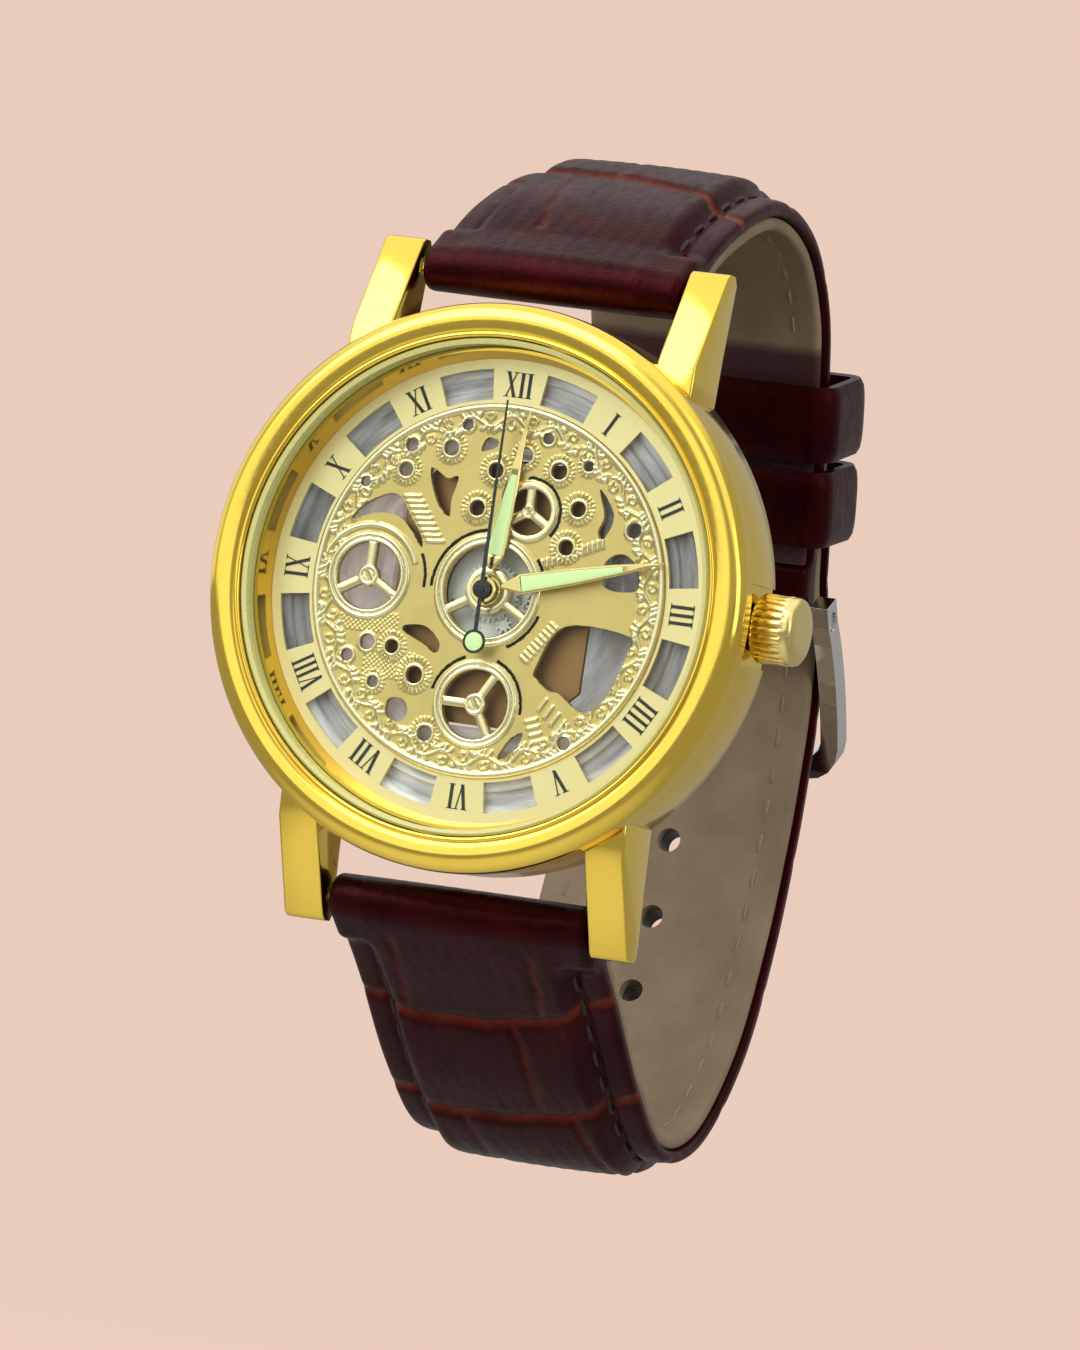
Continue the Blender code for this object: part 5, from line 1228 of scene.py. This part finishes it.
def strap_skin(strap):
    """The outer leather as one closed skin that wraps the bar at each folded end."""
    path = strap.path
    last = path.length - np.array([0.2, 0.1, 0.04, 0.0])
    along = np.concatenate([np.arange(0.0, last[0] - 0.1, 0.33), last])
    nose = np.radians(np.linspace(0, 180, 13)[1:-1])
    stations = np.concatenate([along, np.full(len(nose), path.length), along[::-1],
                               np.zeros(len(nose))])
    lean = np.concatenate([np.zeros(len(along)), nose, np.full(len(along), math.pi),
                           math.pi + nose])
    share = np.sin(np.linspace(-math.pi / 2, math.pi / 2, 81))
    s = stations[:, None] + 0 * share
    half = strap.half_width(s)
    x = half * share
    outer = strap.lift(s, x)
    fold = smooth_step((FOLD_LENGTH + 0.3 - s) / 0.6)
    if not strap.pointed:
        fold = np.maximum(fold, smooth_step((s - path.length + FOLD_LENGTH + 0.3) / 0.6))
    inner = strap.thickness(s) / 2 - (LINING_THICKNESS + 0.05) * (1 - fold)
    turn = lean[:, None] + 0 * share
    weight = (1 + np.cos(turn)) / 2
    distance = outer * weight + inner * (1 - weight)
    edge = np.clip((np.abs(x) - half + 0.9) / 0.9, 0, 1)
    distance = distance * (1 - edge ** 3) ** (1 / 3)
    heading, outward = path.heading(s), path.outward(s)
    spot = path.at(s) + distance[..., None] * (np.cos(turn)[..., None] * outward
                                               + np.sin(turn)[..., None] * heading)
    rows = np.stack([x, spot[..., 0], spot[..., 1]], axis=-1)
    groove = np.where(turn < 1.5, strap.groove(s, x), 0.0)
    return grid_shape(rows, wrap_rows=True), groove


def lining_skin(strap, start, end, dark_from):
    path = strap.path
    along = np.append(np.arange(start, end, 0.5), end)
    share = np.sin(np.linspace(-math.pi / 2, math.pi / 2, 49))
    s = along[:, None] + 0 * share
    half = strap.half_width(s) - 0.35
    x = half * share
    under = -strap.thickness(s) / 2
    crease = 0.05 * np.exp(-((np.abs(x) - half + STITCH_INSET - 0.35) / 0.3) ** 2)
    edge = (1 - np.clip((np.abs(x) - half + 0.5) / 0.5, 0, 1) ** 3) ** (1 / 3)
    middle = under + LINING_THICKNESS / 2
    low = middle - (LINING_THICKNESS / 2 - crease) * edge
    high = middle + LINING_THICKNESS / 2 * edge
    rows = np.concatenate([path.place(x, s, low), path.place(x, s, high)[::-1]])
    # Painted shade: the lining darkens from dark_from on, towards the buckle end.
    dark = smooth_step((s - dark_from) / 0.3)
    return grid_shape(rows, wrap_rows=True), np.concatenate([dark, dark[::-1]])


def stitches(strap, start, end, side_of_strap):
    """A row of thread stitches along each edge; side_of_strap is +1 outside and -1 on the lining."""
    shapes = []
    ring = np.radians(np.linspace(0, 360, 8, endpoint=False))
    body = np.linspace(-1, 1, 7)
    for s0 in np.arange(start, end, STITCH_PITCH):
        half = float(strap.half_width(s0)) - STITCH_INSET
        for x0 in (half, -half):
            s = s0 + body * STITCH_LENGTH / 2
            fat = STITCH_RADIUS * np.sqrt(np.clip(1 - body ** 4, 0.02, 1))
            if side_of_strap > 0:
                level = strap.lift(s, x0 + 0 * s) + 0.06 - STITCH_RADIUS * body ** 4
            else:
                level = -strap.thickness(s) / 2 + 0.09 + 0.12 * body ** 4
            x = x0 + np.outer(fat, np.cos(ring))
            lift = level[:, None] + np.outer(fat, np.sin(ring))
            rows = strap.path.place(x, s[:, None] + 0 * ring, lift)
            shapes.append(capped_tube(rows))
    return joined(*shapes)


def punch_shape(path, s, half_length, radius):
    """A closed oblong rod through the strap."""
    outline = [*arc((0, half_length), radius, 0, 180, 12),
               *arc((0, -half_length), radius, 180, 360, 12)]
    spot, heading, outward = path.at(s), path.heading(s), path.outward(s)

    def place(across, run, lift):
        y, z = spot + heading * run + outward * lift
        return (across, y, z)

    return prism(outline, [], -4.0, 4.0, place)


def build_strap_half(name, strap, body, looks, lining_end, dark_from, stitch_end):
    """Hide, lining and stitches of one half. Gives the hide and the lining, to be cut."""
    hide, lining, dark_thread, pale_thread = looks
    shape, groove = strap_skin(strap)
    skin = piece(f"strap_{name}_hide", shape, hide, body,
                 [f"strap_{name}_leather"], LEATHER_SHARP, {"groove": groove})
    shape, dark = lining_skin(strap, FOLD_LENGTH + 0.1, lining_end, dark_from)
    inside = piece(f"strap_{name}_inside", shape, lining, body,
                   [f"strap_{name}_lining"], LEATHER_SHARP, {"dark": dark})
    piece(f"strap_{name}_stitches", stitches(strap, STITCH_START, stitch_end, 1), dark_thread,
          body)
    back_end = min(stitch_end, dark_from - 1)
    piece(f"strap_{name}_back_stitches", stitches(strap, STITCH_START, back_end, -1), pale_thread,
          body)
    return skin, inside


def build_short_strap(looks):
    strap = short_strap()
    path = strap.path
    dark_from = path.distance_at_height(SHORT_DARK_LINING_Z, 30.0)
    skin, _ = build_strap_half("short", strap, "strap_12", looks, path.length - FOLD_LENGTH - 0.1,
                               dark_from, path.length - SHORT_STITCH_GAP)
    end_y, end_z = path.at(path.length)
    slot = [(end_y - 3, end_z - 3), (end_y + 3, end_z - 3),
            (end_y + 3, end_z + TONGUE_SLOT_TOP), (end_y - TONGUE_SLOT_TOP, end_z + TONGUE_SLOT_TOP)]
    cut(skin, prism(slot, [], -TONGUE_SLOT_HALF, TONGUE_SLOT_HALF, facing_x))
    shade(skin, LEATHER_SHARP)


def build_long_strap(looks):
    strap = long_strap()
    path = strap.path
    used = path.distance_at_height(SHORT_WAYPOINTS[-1][1] + USED_HOLE_RISE, 60.0)
    holes = [punch_shape(path, used, USED_HOLE_HALF, USED_HOLE_RADIUS)]
    holes += [punch_shape(path, used - HOLE_SHIFT - n * HOLE_PITCH, 0.0, HOLE_RADIUS)
              for n in range(1, HOLE_COUNT)]
    for item in build_strap_half("long", strap, "strap_6", looks, path.length - LINING_TIP_GAP,
                                 NEVER, path.length - TAIL_STITCH_GAP):
        cut(item, *holes)
        shade(item, LEATHER_SHARP)


def build_keeper(name, z, body, node, hide):
    """A rounded leather loop round the short piece and the tail on it."""
    strap = short_strap()
    path = strap.path
    s = path.distance_at_height(z, 30.0)
    half = float(strap.half_width(s)) + 0.35 + KEEPER_WALL / 2
    low = -float(strap.thickness(s)) / 2 - KEEPER_CLEARANCE - KEEPER_WALL / 2
    high = TAIL_LIFT + LONG_THICKNESS[1] / 2 + 0.1 + KEEPER_CLEARANCE + KEEPER_WALL / 2
    left, right = -half + KEEPER_CORNER, half - KEEPER_CORNER
    bottom, top = low + KEEPER_CORNER, high - KEEPER_CORNER
    loop = []
    for cx, cy, start in ((right, top, 0), (left, top, 90), (left, bottom, 180),
                          (right, bottom, 270)):
        for a in np.radians(np.linspace(start, start + 90, 9)):
            c, d = math.cos(a), math.sin(a)
            loop.append((cx + KEEPER_CORNER * c, cy + KEEPER_CORNER * d, c, d))
    dense = []
    for here, after in zip(loop, loop[1:] + loop[:1]):
        gap = math.dist(here[:2], after[:2])
        count = max(1, round(gap / 0.6))
        for n in range(count):
            t = n / count
            dense.append([a + (b - a) * t for a, b in zip(here, after)])
    section = []
    wall, length = KEEPER_WALL / 2, KEEPER_LENGTH / 2
    for v in np.linspace(-1, 1, 13):
        swell = wall * (0.35 + 0.65 * math.sqrt(max(0.0, 1 - abs(v) ** 3)))
        section.append((length * v, swell))
    for v in np.linspace(1, -1, 7):
        section.append((length * v * 0.98, -wall * 0.85))
    spot, heading, outward = path.at(s), path.heading(s), path.outward(s)
    rows = []
    for across, lift, nx, ny in dense:
        row = []
        for run, depth in section:
            a, b = across + nx * depth, lift + ny * depth
            y, zz = spot + heading * run + outward * b
            row.append((a, y, zz))
        rows.append(row)
    shape = grid_shape(np.array(rows), wrap_rows=True, wrap_columns=True)
    groove = np.zeros(len(shape[0]))
    piece(name, shape, hide, body, [node], LEATHER_SHARP, {"groove": groove})


# ---------------------------------------------------------------- CAD pieces that stay

def soften(node, width):
    """Rounds a CAD node's edges with modifiers; its own mesh is left alone."""
    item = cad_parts[node]
    weld = item.modifiers.new("weld", "WELD")
    weld.merge_threshold = CAD_WELD * MM
    add_bevel(item, width)


def paint_nodes(material, *nodes):
    for name in nodes:
        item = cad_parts[name]
        for slot_index in range(len(item.material_slots)):
            item.material_slots[slot_index].material = material


def dress_cad_nodes():
    steel = metal("steel", (0.62, 0.62, 0.64), 0.25, (1.0, 4.0, 1.0))
    silver = metal("buckle_steel", (0.74, 0.73, 0.72), 0.14, (0.3, 1.0, 1.0), 0.6)
    brass = metal("movement_brass", (0.62, 0.40, 0.16), 0.3)
    paint_nodes(movement_plate(), "main_plate")
    paint_nodes(see_through("back_glass", (0.96, 0.98, 0.97)), "case_back_glass")
    paint_nodes(brass, "fourth_wheel", "third_wheel", "center_wheel", "battery_clip")
    paint_nodes(enamel("white_plastic", (0.74, 0.76, 0.76), 0.4), "minute_wheel", "hour_wheel")
    paint_nodes(metal("copper_wire", (0.62, 0.27, 0.10), 0.35, (20.0, 1.0, 1.0), 1.2), "coil")
    paint_nodes(metal("cell_steel", (0.72, 0.72, 0.74), 0.2), "battery", "quartz_can", "rotor")
    paint_nodes(enamel("board", (0.03, 0.16, 0.06), 0.4), "circuit_board")
    paint_nodes(enamel("rubber", (0.02, 0.02, 0.02), 0.6), "case_back_gasket", "crown_gasket")
    paint_nodes(steel, "train_bridge", "coil_core", "stator", "intermediate_wheel",
                "cannon_pinion", "setting_wheel", "winding_stem", "clutch_pinion", "setting_lever",
                "crown_tube", "spring_bar_12", "spring_bar_6", "spring_bar_12_tip_left",
                "spring_bar_12_tip_right", "spring_bar_6_tip_left", "spring_bar_6_tip_right")
    paint_nodes(silver, "buckle_frame", "buckle_bar", "buckle_tongue")
    soften("buckle_frame", 0.35)
    soften("buckle_tongue", 0.2)
    soften("buckle_bar", 0.15)
    for node in ("main_plate", "train_bridge", "battery", "stator", "battery_clip"):
        soften(node, 0.06)


# ---------------------------------------------------------------- stage

def build_stage():
    floor_mesh = bpy.data.meshes.new("floor")
    reach = 6.0
    level = FLOOR_LEVEL * MM
    floor_mesh.from_pydata([(-reach, -reach, level), (reach, -reach, level), (reach, reach, level),
                            (-reach, reach, level)], [], [(0, 1, 2, 3)])
    floor = added("floor", floor_mesh)
    r = Recipe("floor", PEACH, 0.9)
    seen = r.node("ShaderNodeLightPath", output="Is Camera Ray")
    plain = r.node("ShaderNodeEmission", {"Color": (*PEACH, 1.0), "Strength": 1.0})
    away = r.node("ShaderNodeVectorMath", {0: r.place(), 1: FLOOR_GLOW}, output="Value",
                  operation="DISTANCE")
    power = r.mapped(away, 25.0, 90.0, 0.8, 0.36)
    bounce = r.node("ShaderNodeEmission", {"Color": (1.0, 0.95, 0.90, 1.0), "Strength": power})
    glow = r.mixed(seen, bounce, plain)
    shaded = r.sum_of(seen, 0.08, "MULTIPLY")
    r.finish_with(r.mixed(shaded, glow, r.shader.outputs["BSDF"]))
    floor_mesh.materials.append(r.material)


def build_world():
    """Peach for the camera; a soft studio with lighter and darker sides for reflections."""
    world = bpy.data.worlds.new("studio")
    bpy.context.scene.world = world
    world.use_nodes = True
    tree = world.node_tree
    tree.nodes.clear()

    def node(kind, inputs=None, output=0, **settings):
        return add_node(tree, kind, inputs, output, **settings)

    direction = node("ShaderNodeTexCoord", output="Generated")
    strength = AMBIENT
    for aim, full_angle, edge_angle, power in STUDIO_CARDS:
        aim = tuple(Vector(aim).normalized())
        facing = node("ShaderNodeVectorMath", {0: direction, 1: aim}, output="Value",
                      operation="DOT_PRODUCT")
        card = node("ShaderNodeMapRange", {"Value": facing,
                                           "From Min": math.cos(math.radians(edge_angle)),
                                           "From Max": math.cos(math.radians(full_angle)),
                                           "To Min": 0.0, "To Max": power},
                    interpolation_type="SMOOTHSTEP")
        strength = node("ShaderNodeMath", {0: strength, 1: card}, operation="ADD")
    studio = node("ShaderNodeBackground", {"Color": (1.0, 0.98, 0.95, 1.0), "Strength": strength})
    backdrop = node("ShaderNodeBackground", {"Color": (*PEACH, 1.0), "Strength": 1.0})
    seen = node("ShaderNodeLightPath", output="Is Camera Ray")
    mixed = node("ShaderNodeMixShader", {0: seen, 1: studio, 2: backdrop})
    output = tree.nodes.new("ShaderNodeOutputWorld")
    tree.links.new(mixed, output.inputs["Surface"])


def add_lamp(name, place, target, size, watts, mirrored=False):
    lamp = bpy.data.lights.new(name, "AREA")
    lamp.shape = "RECTANGLE"
    lamp.size, lamp.size_y = size
    lamp.energy = watts
    item = added(name, lamp)
    item.location = Vector(place)
    item.rotation_euler = (Vector(target) - Vector(place)).to_track_quat("-Z", "Y").to_euler()
    item.visible_glossy = mirrored


def build_lights():
    add_lamp("key", (-0.28, -0.42, 0.45), (0, 0, 0), (0.55, 0.55), 2.8, True)
    add_lamp("side", (0.55, -0.25, 0.2), (0, 0.02, 0), (0.12, 0.3), 1.5)
    add_lamp("top", (0.05, 0.12, 0.6), (0, 0.02, 0), (0.4, 0.3), 0.8)


def build_camera():
    azimuth, elevation, roll = (math.radians(a) for a in
                                (CAMERA_AZIMUTH, CAMERA_ELEVATION, CAMERA_ROLL))
    back = Vector((math.sin(azimuth) * math.cos(elevation),
                   -math.cos(azimuth) * math.cos(elevation), math.sin(elevation)))
    level_right = Vector((0, 0, 1)).cross(back).normalized()
    level_up = back.cross(level_right)
    right = level_right * math.cos(roll) + level_up * math.sin(roll)
    up = level_up * math.cos(roll) - level_right * math.sin(roll)
    target = Vector((0, DIAL_FRONT, 0))
    place = (target - right * CAMERA_SHIFT[0] - up * CAMERA_SHIFT[1] + back * CAMERA_DISTANCE) * MM
    data = bpy.data.cameras.new("camera")
    data.lens = CAMERA_LENS
    data.sensor_width = 36.0
    data.clip_start, data.clip_end = 0.01, 20.0
    camera = added("camera", data)
    camera.matrix_world = Matrix.Translation(place) @ Matrix((right, up, back)).transposed().to_4x4()
    bpy.context.scene.camera = camera
    bpy.context.scene.view_settings.view_transform = "Standard"


# ---------------------------------------------------------------- whole watch


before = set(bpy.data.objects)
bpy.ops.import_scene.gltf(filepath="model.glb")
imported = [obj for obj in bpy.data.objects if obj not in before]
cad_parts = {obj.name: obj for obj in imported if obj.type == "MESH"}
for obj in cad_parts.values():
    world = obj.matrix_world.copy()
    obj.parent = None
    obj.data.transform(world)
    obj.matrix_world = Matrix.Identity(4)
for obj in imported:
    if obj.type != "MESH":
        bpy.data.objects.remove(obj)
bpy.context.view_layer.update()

gold = polished_gold()
hide = leather("maroon_leather", (0.009, 0.0004, 0.0009), (0.024, 0.0014, 0.0024),
               (0.105, 0.014, 0.004), 0.25)
keeper_hide = leather("keeper_leather", (0.008, 0.0004, 0.0007), (0.020, 0.0012, 0.0018),
                      (0.10, 0.012, 0.004), 0.22)
strap_looks = (hide, lining_leather(), thread("dark_thread", (0.012, 0.004, 0.004)),
               thread("pale_thread", (0.16, 0.11, 0.07)))

build_bezel(gold)
build_mid_case(gold)
build_crown(metal("crown_gold", (0.96, 0.79, 0.30), 0.22))
build_glass(see_through("crystal_glass", (0.97, 0.99, 0.98)),
            enamel("nylon", (0.52, 0.50, 0.19), 0.3), gold)
build_holder(ring_plastic())
build_chapter_ring(dial_gold("dial_gold", (0.96, 0.83, 0.42), (0.90, 0.76, 0.36), 0.34, 0.15))
build_relief_disc(relief_gold())
build_numerals(enamel("dial_ink", (0.012, 0.010, 0.010), 0.45))
build_hands(metal("hand_gold", (0.92, 0.74, 0.30), 0.16),
            enamel("black_lacquer", (0.006, 0.006, 0.007), 0.25), lume())
build_short_strap(strap_looks)
build_long_strap(strap_looks)
build_keeper("keeper_fixed_loop", FIXED_KEEPER_Z, "strap_12", "keeper_fixed", keeper_hide)
build_keeper("keeper_free_loop", FREE_KEEPER_Z, "loose_keeper", "keeper_free", keeper_hide)
dress_cad_nodes()

build_stage()
build_world()
build_lights()
build_camera()
